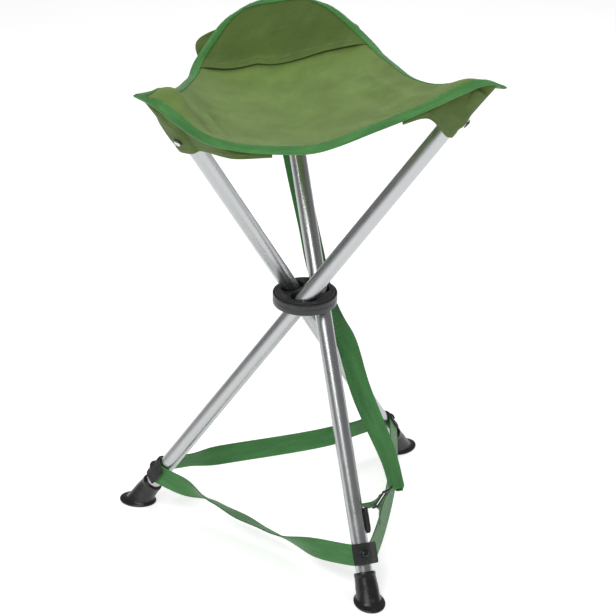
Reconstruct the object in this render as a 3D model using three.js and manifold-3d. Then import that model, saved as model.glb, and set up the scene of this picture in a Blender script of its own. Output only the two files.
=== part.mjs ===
// Folding three leg stool: a sling seat on three tubes that cross in a pinwheel hub.
// Millimetres, +Z up. Everything is laid out about the hub axis, then the finished group is
// shifted so that its origin is the middle of its bounding box, on the floor.
// Legs are named by where their foot stands: front, right and left. Each leg has a frame of its
// own at the hub: local Z runs up the tube, local X is the pivot axis (level, pointing away from
// the hub axis) and local -Y is the tube's outer, upper side near the floor.

import * as THREE from "three";
import { mergeVertices } from "three/addons/utils/BufferGeometryUtils.js";
import Module from "manifold-3d";

const wasm = await Module();
wasm.setup();

// ---------------------------------------------------------------- driving dimensions
const TUBE_R = 10;
const TUBE_WALL = 1.2;
const LEG_TILT = THREE.MathUtils.degToRad(34.385);
const LEG_OFFSET = 18.64;
const HUB_HEIGHT = 302.6;
const HUB_R = 38.3;
const HUB_HALF = 7.9;
const LEG_TOP = 344;
const SOLE_DEPTH = 16;
const GAP = 0.3;
const WEB_WIDTH = 25;
const WEB_THICK = 1.4;
const PATCH_S = -310;
const RIVET_S = 307;
const SEAT_TURN = THREE.MathUtils.degToRad(-5.4);
const SEAT_THICK = 2;
const SEAT_STEPS = 18;

const LEGS = { front: 0, right: 120, left: 240 };
const LEG_LOW = HUB_HEIGHT / Math.cos(LEG_TILT);
const PIN_R = 2.5;
const PIN_IN = 5.5;
const PIN_OUT = 32.5;

// ---------------------------------------------------------------- materials
const material = (color, roughness, metalness) =>
  new THREE.MeshStandardMaterial({ color, roughness, metalness });
const ALUMINIUM = material(0xb4b4b2, 0.35, 0.9);
const STEEL = material(0xc8c8c8, 0.25, 1);
const BLACK_PLASTIC = material(0x2a2a2a, 0.5, 0);
const RUBBER = material(0x262423, 0.7, 0);
const OLIVE = material(0x5f7434, 0.9, 0);
const DARK_OLIVE = material(0x424f26, 0.9, 0);
const BINDING_GREEN = material(0x2f7a3a, 0.8, 0);
const WEB_GREEN = material(0x4a8a46, 0.8, 0);
const BLACK_FABRIC = material(0x232523, 0.9, 0);

// ---------------------------------------------------------------- geometry helpers
const vec = (x, y, z) => new THREE.Vector3(x, y, z);
const curve = (points) => new THREE.CatmullRomCurve3(points, false, "centripetal");

function bare(geometry) {
  const copy = geometry.clone();
  copy.deleteAttribute("normal");
  copy.deleteAttribute("uv");
  return mergeVertices(copy, 1e-4);
}

function volume(geometry) {
  const p = geometry.attributes.position;
  const index = geometry.index.array;
  let sum = 0;
  const corner = (i) => new THREE.Vector3().fromBufferAttribute(p, index[i]);
  for (let i = 0; i < index.length; i += 3) {
    sum += corner(i).dot(corner(i + 1).cross(corner(i + 2)));
  }
  return sum / 6;
}

function outward(geometry) {
  const merged = bare(geometry);
  if (volume(merged) < 0) {
    const index = merged.index.array;
    for (let i = 0; i < index.length; i += 3) {
      const first = index[i];
      index[i] = index[i + 1];
      index[i + 1] = first;
    }
  }
  return merged;
}

function toSolid(geometry) {
  const merged = outward(geometry);
  const vertProperties = new Float32Array(merged.attributes.position.array);
  const triVerts = new Uint32Array(merged.index.array);
  return new wasm.Manifold(new wasm.Mesh({ numProp: 3, vertProperties, triVerts }));
}

function fromSolid(solid) {
  const mesh = solid.getMesh();
  const geometry = new THREE.BufferGeometry();
  geometry.setAttribute("position", new THREE.BufferAttribute(mesh.vertProperties, 3));
  geometry.setIndex(new THREE.BufferAttribute(mesh.triVerts, 1));
  return geometry;
}

function cut(geometry, tools) {
  let solid = toSolid(geometry);
  for (const tool of tools) {
    solid = solid.subtract(toSolid(tool));
  }
  return fromSolid(solid);
}

// A body turned about Z from (radius, z) pairs.
function turned(profile, segments) {
  const points = profile.map(([r, z]) => new THREE.Vector2(r, z));
  return new THREE.LatheGeometry(points, segments).rotateX(Math.PI / 2);
}

function rod(radius, from, to, segments) {
  const axis = to.clone().sub(from);
  const geometry = new THREE.CylinderGeometry(radius, radius, axis.length(), segments);
  geometry.rotateX(Math.PI / 2);
  geometry.lookAt(axis);
  const middle = from.clone().add(to).multiplyScalar(0.5);
  return geometry.translate(middle.x, middle.y, middle.z);
}

// A closed sheet: point(u, v) gives its middle surface, and it is thickened along the normal.
function sheet(point, stepsU, stepsV, thickness) {
  const geometry = bare(new THREE.BoxGeometry(1, 1, 1, stepsU, stepsV, 1));
  const position = geometry.attributes.position;
  const step = 0.004;
  for (let i = 0; i < position.count; i++) {
    const u = position.getX(i) + 0.5;
    const v = position.getY(i) + 0.5;
    const u0 = Math.min(Math.max(u, step), 1 - step);
    const v0 = Math.min(Math.max(v, step), 1 - step);
    const alongU = point(u0 + step, v0).sub(point(u0 - step, v0));
    const alongV = point(u0, v0 + step).sub(point(u0, v0 - step));
    const normal = alongU.cross(alongV).normalize();
    const place = point(u, v).addScaledVector(normal, position.getZ(i) * thickness);
    position.setXYZ(i, place.x, place.y, place.z);
  }
  return outward(geometry);
}

// Webbing: a flat band about a middle line. Its width direction turns from each named direction
// to the next; widths lists [share along the line, direction].
function webbing(points, widths, stepsU) {
  const line = curve(points);
  const widthAt = (u) => {
    const next = widths.findIndex(([share]) => share > u);
    if (next <= 0) {
      return (next === 0 ? widths[0] : widths[widths.length - 1])[1].clone();
    }
    const [low, from] = widths[next - 1];
    const [high, to] = widths[next];
    return from.clone().lerp(to, THREE.MathUtils.smoothstep(u, low, high));
  };
  const band = (u, v) => {
    const tangent = line.getTangentAt(u);
    const width = widthAt(u);
    width.addScaledVector(tangent, -width.dot(tangent)).normalize();
    return line.getPointAt(u).addScaledVector(width, (v - 0.5) * WEB_WIDTH);
  };
  return sheet(band, stepsU, 1, WEB_THICK);
}

// A skin through rings: ring(level, angle) gives its points and centre(level) closes the ends.
function lofted(ring, centre, levels, segments) {
  const geometry = bare(new THREE.CylinderGeometry(1, 1, 1, segments, levels));
  const position = geometry.attributes.position;
  for (let i = 0; i < position.count; i++) {
    const level = Math.round((position.getY(i) + 0.5) * levels);
    const x = position.getX(i);
    const z = position.getZ(i);
    const place = Math.hypot(x, z) < 0.5 ? centre(level) : ring(level, Math.atan2(-z, x));
    position.setXYZ(i, place.x, place.y, place.z);
  }
  return outward(geometry);
}

const group = new THREE.Group();

function addMesh(parent, name, geometry, look) {
  const final = geometry.attributes.normal ? bare(geometry) : geometry;
  final.computeVertexNormals();
  const mesh = new THREE.Mesh(final, look.clone());
  mesh.name = name;
  parent.add(mesh);
  return mesh;
}

// ---------------------------------------------------------------- leg frames
const legFrames = {};
for (const [name, turn] of Object.entries(LEGS)) {
  const phi = THREE.MathUtils.degToRad(turn);
  const frame = new THREE.Group();
  frame.position.set(LEG_OFFSET * Math.cos(phi), LEG_OFFSET * Math.sin(phi), HUB_HEIGHT);
  frame.rotation.set(-LEG_TILT, 0, phi, "ZXY");
  frame.updateMatrixWorld();
  group.add(frame);
  legFrames[name] = frame;
}
const onLeg = (name, x, y, s) => legFrames[name].localToWorld(vec(x, y, s));
const legUp = (name) => vec(0, 0, 1).transformDirection(legFrames[name].matrixWorld);
// A point on a leg at a distance from its axis; angle 0 is local X, 90 local Y.
function aroundLeg(name, radius, angle, s) {
  const turn = THREE.MathUtils.degToRad(angle);
  return onLeg(name, radius * Math.cos(turn), radius * Math.sin(turn), s);
}

// ---------------------------------------------------------------- hub
const hub = new THREE.Group();
hub.position.z = HUB_HEIGHT;
group.add(hub);

const HUB_SIDES = 48;
const FINE_SIDES = 14;
const RIM_WALL = 2.2;
const CAP_R = HUB_R - RIM_WALL - 0.4;
const SLOT_R = 10.6;
const SLOT_LONG = 7.9;
const SLOT_SHORT = 2.3;
const SCREW_RADIUS = 31;
const SCREW_SHANK = 1.6;
const SCREW_HEAD = 3.2;

// The slot that a leg swings in, through one half of the hub: long towards its leaning side.
function slot(turn, zLow, zHigh, back, forth) {
  const outline = new THREE.Shape();
  outline.absarc(LEG_OFFSET, forth, SLOT_R, 0, Math.PI, false);
  outline.absarc(LEG_OFFSET, back, SLOT_R, Math.PI, 2 * Math.PI, false);
  const depth = zHigh - zLow;
  const geometry = new THREE.ExtrudeGeometry(outline, {
    depth,
    bevelEnabled: false,
    curveSegments: 8,
  });
  return geometry.translate(0, 0, zLow).rotateZ(THREE.MathUtils.degToRad(turn));
}

function pinGroove(turn) {
  const groove = rod(PIN_R + GAP, vec(PIN_IN - GAP, 0, 0), vec(PIN_OUT + GAP, 0, 0), FINE_SIDES);
  return groove.rotateZ(THREE.MathUtils.degToRad(turn));
}

function screwBore(turn, radius, zLow, zHigh) {
  const bore = rod(radius, vec(SCREW_RADIUS, 0, zLow), vec(SCREW_RADIUS, 0, zHigh), FINE_SIDES);
  return bore.rotateZ(THREE.MathUtils.degToRad(turn));
}

const turns = Object.values(LEGS);
const screwTurns = turns.map((turn) => turn + 60);

const hubBase = turned(
  [
    [0, -HUB_HALF],
    [HUB_R - 1.2, -HUB_HALF],
    [HUB_R, -HUB_HALF + 1.2],
    [HUB_R, 5],
    [HUB_R - 0.7, 5.8],
    [HUB_R - RIM_WALL, 5.8],
    [HUB_R - RIM_WALL, 0],
    [0, 0],
  ],
  HUB_SIDES,
);
addMesh(
  hub,
  "hub_base",
  cut(hubBase, [
    ...turns.map((turn) => slot(turn, -HUB_HALF - 1, 1, -SLOT_LONG, SLOT_SHORT)),
    ...turns.map(pinGroove),
    ...screwTurns.map((turn) => screwBore(turn, SCREW_SHANK + GAP, -HUB_HALF - 1, 1)),
    ...screwTurns.map((turn) => screwBore(turn, SCREW_HEAD + GAP, -HUB_HALF - 1, -5)),
  ]),
  BLACK_PLASTIC,
);

const hubCap = turned(
  [
    [0, GAP],
    [CAP_R, GAP],
    [CAP_R, HUB_HALF - 1.2],
    [CAP_R - 1.2, HUB_HALF],
    [0, HUB_HALF],
  ],
  HUB_SIDES,
);
addMesh(
  hub,
  "hub_cap",
  cut(hubCap, [
    ...turns.map((turn) => slot(turn, 0, HUB_HALF + 1, -SLOT_SHORT, SLOT_LONG)),
    ...turns.map(pinGroove),
    ...screwTurns.map((turn) => screwBore(turn, SCREW_SHANK + GAP, 0, 5.6)),
  ]),
  BLACK_PLASTIC,
);

for (const [name, turn] of Object.entries(LEGS)) {
  const pin = turned(
    [
      [0, PIN_IN],
      [PIN_R - 0.4, PIN_IN],
      [PIN_R, PIN_IN + 0.4],
      [PIN_R, PIN_OUT - 0.4],
      [PIN_R - 0.4, PIN_OUT],
      [0, PIN_OUT],
    ],
    FINE_SIDES,
  );
  pin.rotateY(Math.PI / 2).rotateZ(THREE.MathUtils.degToRad(turn));
  addMesh(hub, `pivot_pin_${name}`, pin, STEEL);
}

for (const [i, turn] of screwTurns.entries()) {
  const screw = turned(
    [
      [0, -7.6],
      [SCREW_HEAD - 0.8, -7.6],
      [SCREW_HEAD, -6.9],
      [SCREW_HEAD, -5.4],
      [SCREW_SHANK, -5.4],
      [SCREW_SHANK, 4.2],
      [0, 5.2],
    ],
    FINE_SIDES,
  );
  const recess = [0, 90].map((angle) => {
    const bar = new THREE.BoxGeometry(4, 0.9, 2.4).translate(0, 0, -7.6);
    return bar.rotateZ(THREE.MathUtils.degToRad(angle));
  });
  const geometry = cut(screw, recess).translate(SCREW_RADIUS, 0, 0);
  geometry.rotateZ(THREE.MathUtils.degToRad(turn));
  addMesh(hub, `hub_screw_${i + 1}`, geometry, STEEL);
}

// ---------------------------------------------------------------- legs
const TUBE_BOTTOM = -(LEG_LOW - SOLE_DEPTH);
const RIVET_HOLE_R = 1.8;
const SOLE_X = 18.2;
const SOLE_Y = 23.2;
const SOLE_THICK = 2.3;
const NECK_R = 13.8;
const BOOT_NECK = 21;
const BOOT_TOP = 36;
const TUBE_SIDES = 32;

// The boot: a flat oval sole on the floor that narrows into a sleeve along the tube. It is made
// in a frame that stands upright at the point where the leg's axis meets the floor.
function boot() {
  const axis = vec(0, Math.sin(LEG_TILT), Math.cos(LEG_TILT));
  const across = vec(0, Math.cos(LEG_TILT), -Math.sin(LEG_TILT));
  const flat = (x, y, z) => (angle) => vec(x * Math.cos(angle), y * Math.sin(angle), z);
  const sleeve = (radius, distance) => (angle) =>
    axis
      .clone()
      .multiplyScalar(distance)
      .addScaledVector(across, radius * Math.sin(angle))
      .add(vec(radius * Math.cos(angle), 0, 0));
  // Where the sleeve meets the sole: an oval level cut through the sleeve, at a height.
  const root = (radius, height) => (angle) =>
    vec(
      radius * Math.cos(angle),
      height * Math.tan(LEG_TILT) + (radius / Math.cos(LEG_TILT)) * Math.sin(angle),
      height,
    );
  const rings = [
    flat(SOLE_X, SOLE_Y, 0),
    flat(SOLE_X, SOLE_Y, SOLE_THICK),
    root(NECK_R + 1.4, SOLE_THICK + 1.4),
    root(NECK_R, SOLE_THICK + 3.2),
    sleeve(NECK_R - 0.4, BOOT_NECK),
    sleeve(NECK_R - 1.5, BOOT_TOP - 1),
    sleeve(NECK_R - 2.1, BOOT_TOP),
  ];
  const along = (distance) => axis.clone().multiplyScalar(distance);
  const centre = (level) => along(level === 0 ? 0 : BOOT_TOP);
  const skin = lofted((level, angle) => rings[level](angle), centre, rings.length - 1, TUBE_SIDES);
  const bore = rod(TUBE_R + GAP, along(SOLE_DEPTH - GAP), along(BOOT_TOP + 10), TUBE_SIDES);
  return cut(skin, [bore]);
}

for (const [name, frame] of Object.entries(legFrames)) {
  const inner = TUBE_R - TUBE_WALL;
  const tube = turned(
    [
      [inner, TUBE_BOTTOM],
      [TUBE_R, TUBE_BOTTOM],
      [TUBE_R, LEG_TOP],
      [inner, LEG_TOP],
      [inner, TUBE_BOTTOM],
    ],
    TUBE_SIDES,
  );
  const holes = [
    rod(PIN_R + GAP, vec(-15, 0, 0), vec(15, 0, 0), FINE_SIDES),
    rod(RIVET_HOLE_R + GAP, vec(0, 0, RIVET_S), vec(0, 15, RIVET_S), FINE_SIDES),
    rod(RIVET_HOLE_R + GAP, vec(0, 0, PATCH_S), vec(0, -15, PATCH_S), FINE_SIDES),
  ];
  addMesh(frame, `leg_tube_${name}`, cut(tube, holes), ALUMINIUM);

  const plug = turned(
    [
      [0, LEG_TOP - 18],
      [inner - GAP, LEG_TOP - 18],
      [inner - GAP, LEG_TOP + GAP],
      [TUBE_R, LEG_TOP + GAP],
      [TUBE_R - 1, LEG_TOP + 2.4],
      [0, LEG_TOP + 3.8],
    ],
    20,
  );
  addMesh(frame, `top_plug_${name}`, plug, BLACK_PLASTIC);

  const foot = boot().rotateX(LEG_TILT).translate(0, 0, -LEG_LOW);
  addMesh(frame, `foot_${name}`, foot, RUBBER);
}

// ---------------------------------------------------------------- rivets, washers and patches
const RIVET_HEAD_R = 4;
const WASHER_THICK = 0.9;
const PATCH_R = TUBE_R + 3.6;
const PATCH_HALF = 12.5;
const PATCH_THICK = 1.4;
const PATCH_WRAP = THREE.MathUtils.degToRad(46);
const PATCH_SHORT_ARM = 3.5;
const PATCH_LONG_ARM = 12;

// A domed rivet along +Y from inside the tube wall out to its head at the given radius.
function rivet(head, s) {
  const body = turned(
    [
      [0, TUBE_R - 3],
      [RIVET_HOLE_R, TUBE_R - 3],
      [RIVET_HOLE_R, head],
      [RIVET_HEAD_R, head],
      [RIVET_HEAD_R - 0.8, head + 1.2],
      [0, head + 1.8],
    ],
    FINE_SIDES,
  );
  return body.rotateX(-Math.PI / 2).translate(0, 0, s);
}

function washer(radius, y, s) {
  const ring = turned(
    [
      [RIVET_HOLE_R + GAP, y],
      [radius, y],
      [radius, y + WASHER_THICK],
      [RIVET_HOLE_R + GAP, y + WASHER_THICK],
      [RIVET_HOLE_R + GAP, y],
    ],
    FINE_SIDES,
  );
  return ring.rotateX(-Math.PI / 2).translate(0, 0, s);
}

// The black fabric square that clamps the floor webbing: wrapped round the outer side of the tube,
// with a short flat arm on one side and a longer one on the other.
function patch() {
  const arc = PATCH_R * PATCH_WRAP;
  const around = (u) => {
    const along = THREE.MathUtils.lerp(-(arc + PATCH_SHORT_ARM), arc + PATCH_LONG_ARM, u);
    const side = Math.sign(along);
    const turn = Math.min(Math.abs(along), arc) / PATCH_R;
    const rest = Math.max(Math.abs(along) - arc, 0);
    const x = PATCH_R * Math.sin(turn) + rest * Math.cos(turn);
    const y = PATCH_R * Math.cos(turn) - rest * Math.sin(turn);
    return [side * x, -y];
  };
  const face = (u, v) => {
    const [x, y] = around(u);
    return vec(x, y, PATCH_S + (v - 0.5) * 2 * PATCH_HALF);
  };
  const hole = rod(RIVET_HOLE_R + GAP, vec(0, -8, PATCH_S), vec(0, -25, PATCH_S), FINE_SIDES);
  return cut(sheet(face, 14, 1, PATCH_THICK), [hole]);
}

for (const [name, frame] of Object.entries(legFrames)) {
  addMesh(frame, `strap_patch_${name}`, patch(), BLACK_FABRIC);
  const patchFace = PATCH_R + PATCH_THICK / 2 + GAP;
  const outwards = (geometry) => geometry.rotateZ(Math.PI);
  addMesh(frame, `patch_washer_${name}`, outwards(washer(5.8, patchFace, PATCH_S)), BLACK_PLASTIC);
  addMesh(frame, `patch_rivet_${name}`, outwards(rivet(patchFace + WASHER_THICK + GAP, PATCH_S)), STEEL);
}

// ---------------------------------------------------------------- floor webbing loop
// Each span runs from under one patch, round the tube and free to the next patch.
const WRAP_R = TUBE_R + 1.6;
const SPAN_STEPS = 96;

function span(name, from, to, middle, widths) {
  const start = [-84, -65, -45, -25].map((angle) => aroundLeg(from, WRAP_R, angle, PATCH_S));
  const end = [-150, -132, -114, -96].map((angle) => aroundLeg(to, WRAP_R, angle, PATCH_S));
  const points = [...start, ...middle, ...end];
  const turning = [[0.2, legUp(from)], ...widths, [0.8, legUp(to)]];
  const band = webbing(points, turning, SPAN_STEPS);
  const hole = (leg) => {
    const inside = onLeg(leg, 0, -5, PATCH_S);
    return rod(RIVET_HOLE_R + GAP, inside, onLeg(leg, 0, -25, PATCH_S), FINE_SIDES);
  };
  addMesh(group, name, cut(band, [hole(from), hole(to)]), WEB_GREEN);
}

// The back span is taut and upright; the left one twists nearly flat between the legs.
const UPRIGHT = vec(0, 0.25, 0.97);
const NEARLY_FLAT = vec(-0.686, -0.5, 0.53);
const FLATTER = vec(-0.76, -0.55, 0.34);
span(
  "floor_webbing_back",
  "right",
  "left",
  [vec(70, 97, 46.5), vec(-70, 89, 47)],
  [[0.36, UPRIGHT], [0.64, UPRIGHT]],
);
span(
  "floor_webbing_left",
  "left",
  "front",
  [vec(-120.5, 15.8, 35.1), vec(-83.6, -34.7, 28), vec(-43, -92, 25)],
  [[0.36, NEARLY_FLAT], [0.46, FLATTER], [0.56, NEARLY_FLAT]],
);
span("floor_webbing_right", "front", "right", [vec(72, -98, 38), vec(121, 8, 40)], []);

// ---------------------------------------------------------------- seat outline
// The seat's own frame is turned about Z so that its raised back corner points along +Y.
const onSeat = (x, y, z) => vec(x, y, z).applyAxisAngle(vec(0, 0, 1), SEAT_TURN);
const seatCurve = (list) => curve(list.map(([x, y, z]) => onSeat(x, y, z)));
const TIP_LEFT = [-213, -123, 618];
const TIP_RIGHT = [199, -114, 595];
const ARCH_LEFT = [-37, 189, 597];
const ARCH_RIGHT = [37, 189, 603];

const frontEdge = seatCurve([
  TIP_LEFT,
  [-189, -116, 600],
  [-172, -121, 585],
  [-138, -122, 559],
  [-100, -120, 545],
  [-50, -118, 537],
  [-12, -117, 536],
  [57, -114, 556],
  [102, -112, 571],
  [147, -112, 589.5],
  [180, -112, 600],
  TIP_RIGHT,
]);
const leftEdge = seatCurve([
  TIP_LEFT,
  [-190, -95, 608],
  [-173, -60, 594],
  [-160, -25, 581],
  [-145, 25, 564],
  [-130, 80, 548],
  [-116, 120, 541],
  [-104, 150, 547],
  [-87, 166, 563],
  [-66, 180, 582],
  ARCH_LEFT,
]);
const rightEdge = seatCurve([
  TIP_RIGHT,
  [180, -80, 585],
  [163, -55, 573],
  [148, -25, 562],
  [133, 25, 554],
  [125, 80, 551],
  [116, 120, 553],
  [104, 150, 563],
  [87, 166, 578],
  [66, 180, 593],
  ARCH_RIGHT,
]);
const archTop = seatCurve([
  ARCH_LEFT,
  [-18, 192, 602.5],
  [0, 192.5, 604.5],
  [18, 192, 605.5],
  ARCH_RIGHT,
]);

// The cloth stands up over the end of each leg: lift at the two front corners, and a forward
// bulge along the leg behind the raised back corner.
const TENTS = [
  { at: onSeat(-171, -99, 0), rise: 26, spread: 28 },
  { at: onSeat(158, -99, 0), rise: 8, spread: 26 },
];
const BACK_BULGE = 8;
const BACK_SPREAD = 40;
const bulgeDirection = onSeat(0, -0.83, 0.56);

// The sling's middle surface, spanned between its four edges.
function seatSurface(u, v) {
  const place = frontEdge.getPointAt(u).multiplyScalar(1 - v);
  place.addScaledVector(archTop.getPointAt(u), v);
  place.addScaledVector(leftEdge.getPointAt(v), 1 - u);
  place.addScaledVector(rightEdge.getPointAt(v), u);
  place.addScaledVector(frontEdge.getPointAt(0), -(1 - u) * (1 - v));
  place.addScaledVector(frontEdge.getPointAt(1), -u * (1 - v));
  place.addScaledVector(archTop.getPointAt(0), -(1 - u) * v);
  place.addScaledVector(archTop.getPointAt(1), -u * v);
  const inner = Math.min(1, 12 * u * (1 - u)) * Math.min(1, 12 * v * (1 - v));
  for (const { at, rise, spread } of TENTS) {
    const distance = Math.hypot(place.x - at.x, place.y - at.y);
    place.z += rise * inner * Math.exp(-((distance / spread) ** 2));
  }
  const sideways = (u - 0.5) * leftEdge.getPointAt(v).distanceTo(rightEdge.getPointAt(v));
  const side = Math.exp(-((sideways / BACK_SPREAD) ** 2));
  const along = Math.sin(Math.PI * Math.min(Math.max((v - 0.66) / 0.34, 0), 1));
  return place.addScaledVector(bulgeDirection, BACK_BULGE * side * along);
}

// A place on the sling, moved in from its edges by a margin.
function insetSeat(u, v, margin) {
  const across = leftEdge.getPointAt(v).distanceTo(rightEdge.getPointAt(v));
  const deep = leftEdge.getLength();
  const inU = margin / across;
  const inV = (margin + 2) / deep;
  return [inU + u * (1 - 2 * inU), inV + v * (1 - 2 * inV)];
}

const EDGE_MARGIN = 7;
const seatPanel = sheet(
  (u, v) => seatSurface(...insetSeat(u, v, EDGE_MARGIN)),
  SEAT_STEPS,
  SEAT_STEPS,
  SEAT_THICK,
);
addMesh(group, "seat_panel", seatPanel, OLIVE);

const FLAP_LOW = 0.77;
const FLAP_HIGH = 0.985;
const FLAP_LIFT = 3.8;
const FLAP_THICK = 1.4;
function flapSurface(u, v) {
  const [uu] = insetSeat(u, FLAP_LOW + v * (FLAP_HIGH - FLAP_LOW), EDGE_MARGIN + 1);
  const vv = FLAP_LOW + v * (FLAP_HIGH - FLAP_LOW);
  const step = 0.004;
  const along = seatSurface(uu + step, vv).sub(seatSurface(uu - step, vv));
  const up = seatSurface(uu, vv + step).sub(seatSurface(uu, vv - step));
  const normal = along.cross(up).normalize();
  return seatSurface(uu, vv).addScaledVector(normal, FLAP_LIFT);
}
addMesh(group, "back_flap", sheet(flapSurface, 14, 5, FLAP_THICK), DARK_OLIVE);

// ---------------------------------------------------------------- edge binding
const BINDING_R = 2;
function binding(name, edge, from, to, steps) {
  const share = (i) => from + ((to - from) * i) / steps;
  const part = curve(Array.from({ length: steps + 1 }, (_, i) => edge.getPointAt(share(i))));
  const section = new THREE.Shape().absarc(0, 0, BINDING_R, 0, 2 * Math.PI, false);
  const geometry = new THREE.ExtrudeGeometry(section, {
    steps,
    curveSegments: 4,
    bevelEnabled: false,
    extrudePath: part,
  });
  addMesh(group, name, outward(geometry), BINDING_GREEN);
}
binding("binding_front", frontEdge, 0.014, 0.986, 26);
binding("binding_left", leftEdge, 0.024, 0.985, 26);
binding("binding_right", rightEdge, 0.024, 0.985, 26);
binding("binding_arch", archTop, 0.06, 0.94, 8);

// ---------------------------------------------------------------- corner pockets
// A pocket is a cup of cloth sewn under both edges of a seat corner, out to its tip. Its hem hugs
// the outer side of the leg, and a rivet through a washer holds it to the tube.
const POCKET_THICK = 1;
const POCKET_R = TUBE_R + 1.8;
const POCKET_CHEST_R = TUBE_R + 2.9;
const POCKET_CHEST_V = 0.4;
const POCKET_ROWS = 5;
const HEM_S = 285;
const CHEST_S = 314;
const HUG = [158, 135, 112, 90, 68, 45, 22];

const hugging = (leg, radius, s) => HUG.map((angle) => aroundLeg(leg, radius, angle, s));

// A rail of a pocket, as two runs that meet at the middle of the leg's outer side.
function rail(before, after) {
  const halves = [curve(before), curve(after)];
  return (u) => (u < 0.5 ? halves[0].getPointAt(2 * u) : halves[1].getPointAt(2 * u - 1));
}

// A run of points, then a hug round the leg, then another run, split at the hug's middle.
function hugRail(start, hug, finish) {
  const middle = (hug.length - 1) / 2;
  return rail([...start, ...hug.slice(0, middle + 1)], [...hug.slice(middle), ...finish]);
}

function pocket(name, leg, hem, chest, top) {
  const inverse = legFrames[leg].matrixWorld.clone().invert();
  const clear = (place) => {
    const local = place.applyMatrix4(inverse);
    const radius = Math.hypot(local.x, local.y);
    const push = local.z < LEG_TOP + 7 ? Math.max(1, POCKET_R / radius) : 1;
    return legFrames[leg].localToWorld(vec(local.x * push, local.y * push, local.z));
  };
  const band = (u, v) => {
    const low = v < POCKET_CHEST_V;
    const share = low ? v / POCKET_CHEST_V : (v - POCKET_CHEST_V) / (1 - POCKET_CHEST_V);
    return clear(low ? hem(u).lerp(chest(u), share) : chest(u).lerp(top(u), share));
  };
  const inside = onLeg(leg, 0, 5, RIVET_S);
  const hole = rod(RIVET_HOLE_R + GAP, inside, onLeg(leg, 0, 45, RIVET_S), FINE_SIDES);
  addMesh(group, name, cut(sheet(band, 26, POCKET_ROWS, POCKET_THICK), [hole]), DARK_OLIVE);
}

// Points along a seat edge, a little under its binding.
function under(edge, shares, drop) {
  return shares.map((share) => edge.getPointAt(share).add(vec(0, 0, -drop)));
}
const POCKET_SHARES = [1, 0.76, 0.5, 0.28, 0.08];
const TOP_DROP = 3.8;
const END_DROP = 5.8;
const HEM_DROP = 10;

// One side of a front pocket, along a seat edge from its reach to the tip.
function alongEdge(edge, reach, reversed) {
  const shares = POCKET_SHARES.map((share) => (reversed ? 1 - reach * share : reach * share));
  const end = (drop) => under(edge, [shares[0]], drop);
  const near = (drop) => under(edge, [shares[1]], drop);
  return {
    top: under(edge, shares, TOP_DROP),
    chest: [...end((TOP_DROP + END_DROP) / 2), ...near((TOP_DROP + HEM_DROP) / 2)],
    hem: [...end(END_DROP), ...near(HEM_DROP)],
  };
}

function frontPocket(name, leg, before, after) {
  const hem = hugRail(before.hem, hugging(leg, POCKET_R, HEM_S), after.hem.toReversed());
  const chestHug = hugging(leg, POCKET_CHEST_R, CHEST_S);
  const chest = hugRail(before.chest, chestHug, after.chest.toReversed());
  const tip = before.top.at(-1).clone().lerp(after.top.at(-1), 0.5);
  const top = rail([...before.top, tip], [tip, ...after.top.toReversed()]);
  pocket(name, leg, hem, chest, top);
}
frontPocket(
  "pocket_left",
  "right",
  alongEdge(frontEdge, 0.39, false),
  alongEdge(leftEdge, 0.34, false),
);
frontPocket(
  "pocket_right",
  "left",
  alongEdge(rightEdge, 0.34, false),
  alongEdge(frontEdge, 0.275, true),
);

// The back pocket is wider than the arch: its ends roll out beyond the two shoulders.
const BACK_TOP_S = LEG_TOP - 8;
const BACK_FLARE = 4;
const backTop = hugRail(
  [onSeat(-74, 146, 526), onSeat(-97, 160, 546), onSeat(-99, 177, 562), onSeat(-62, 197, 572)],
  hugging("front", POCKET_R + BACK_FLARE, BACK_TOP_S),
  [onSeat(62, 197, 576), onSeat(99, 177, 570), onSeat(97, 160, 554), onSeat(74, 146, 534)],
);
const backHem = hugRail(
  [onSeat(-72, 146, 516), onSeat(-86, 158, 528)],
  hugging("front", POCKET_R, HEM_S),
  [onSeat(86, 158, 532), onSeat(72, 146, 524)],
);
const backChest = (u) => backHem(u).lerp(backTop(u), POCKET_CHEST_V);
pocket("pocket_back", "front", backHem, backChest, backTop);

const POCKET_FACE = 14.6;
for (const [name, frame] of Object.entries(legFrames)) {
  addMesh(frame, `pocket_washer_${name}`, washer(5.6, POCKET_FACE, RIVET_S), BLACK_PLASTIC);
  addMesh(frame, `pocket_rivet_${name}`, rivet(POCKET_FACE + WASHER_THICK + GAP, RIVET_S), STEEL);
}

// ---------------------------------------------------------------- carry strap
// It hangs from the back corner behind the front leg, folds back at its low end, passes through a
// three-bar adjuster and ends in a black tab on the side of the leg.
const TAB_TOP_S = -257;
const TAB_LOW_S = -287;
const TAB_HALF = 8;
const TAB_NEAR = TUBE_R + 0.8;
const TAB_THICK = 3.2;

const STRAP_FOLD = vec(81, -112, 94);
const foldWidth = vec(0.24, -0.727, 0.642);
const strapRoute = [
  vec(15, 164, 517),
  vec(20.5, 121.5, 431),
  vec(27.6, 82, 358.7),
  vec(33.5, 45, 296),
  vec(44.8, 18, 254.8),
  vec(52.8, 2, 234),
  vec(61, -34, 184),
  vec(79.5, -92, 117),
  STRAP_FOLD,
];
const STRAP_EDGE_ON = vec(0.32, -0.72, 0.6);
const STRAP_FACING = vec(0.96, 0.1, 0.2);
const strapWidths = [
  [0.4, vec(1, 0, 0)],
  [0.6, STRAP_EDGE_ON],
  [0.76, STRAP_FACING],
  [1, foldWidth],
];
addMesh(group, "carry_strap", webbing(strapRoute, strapWidths, 80), WEB_GREEN);

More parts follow.
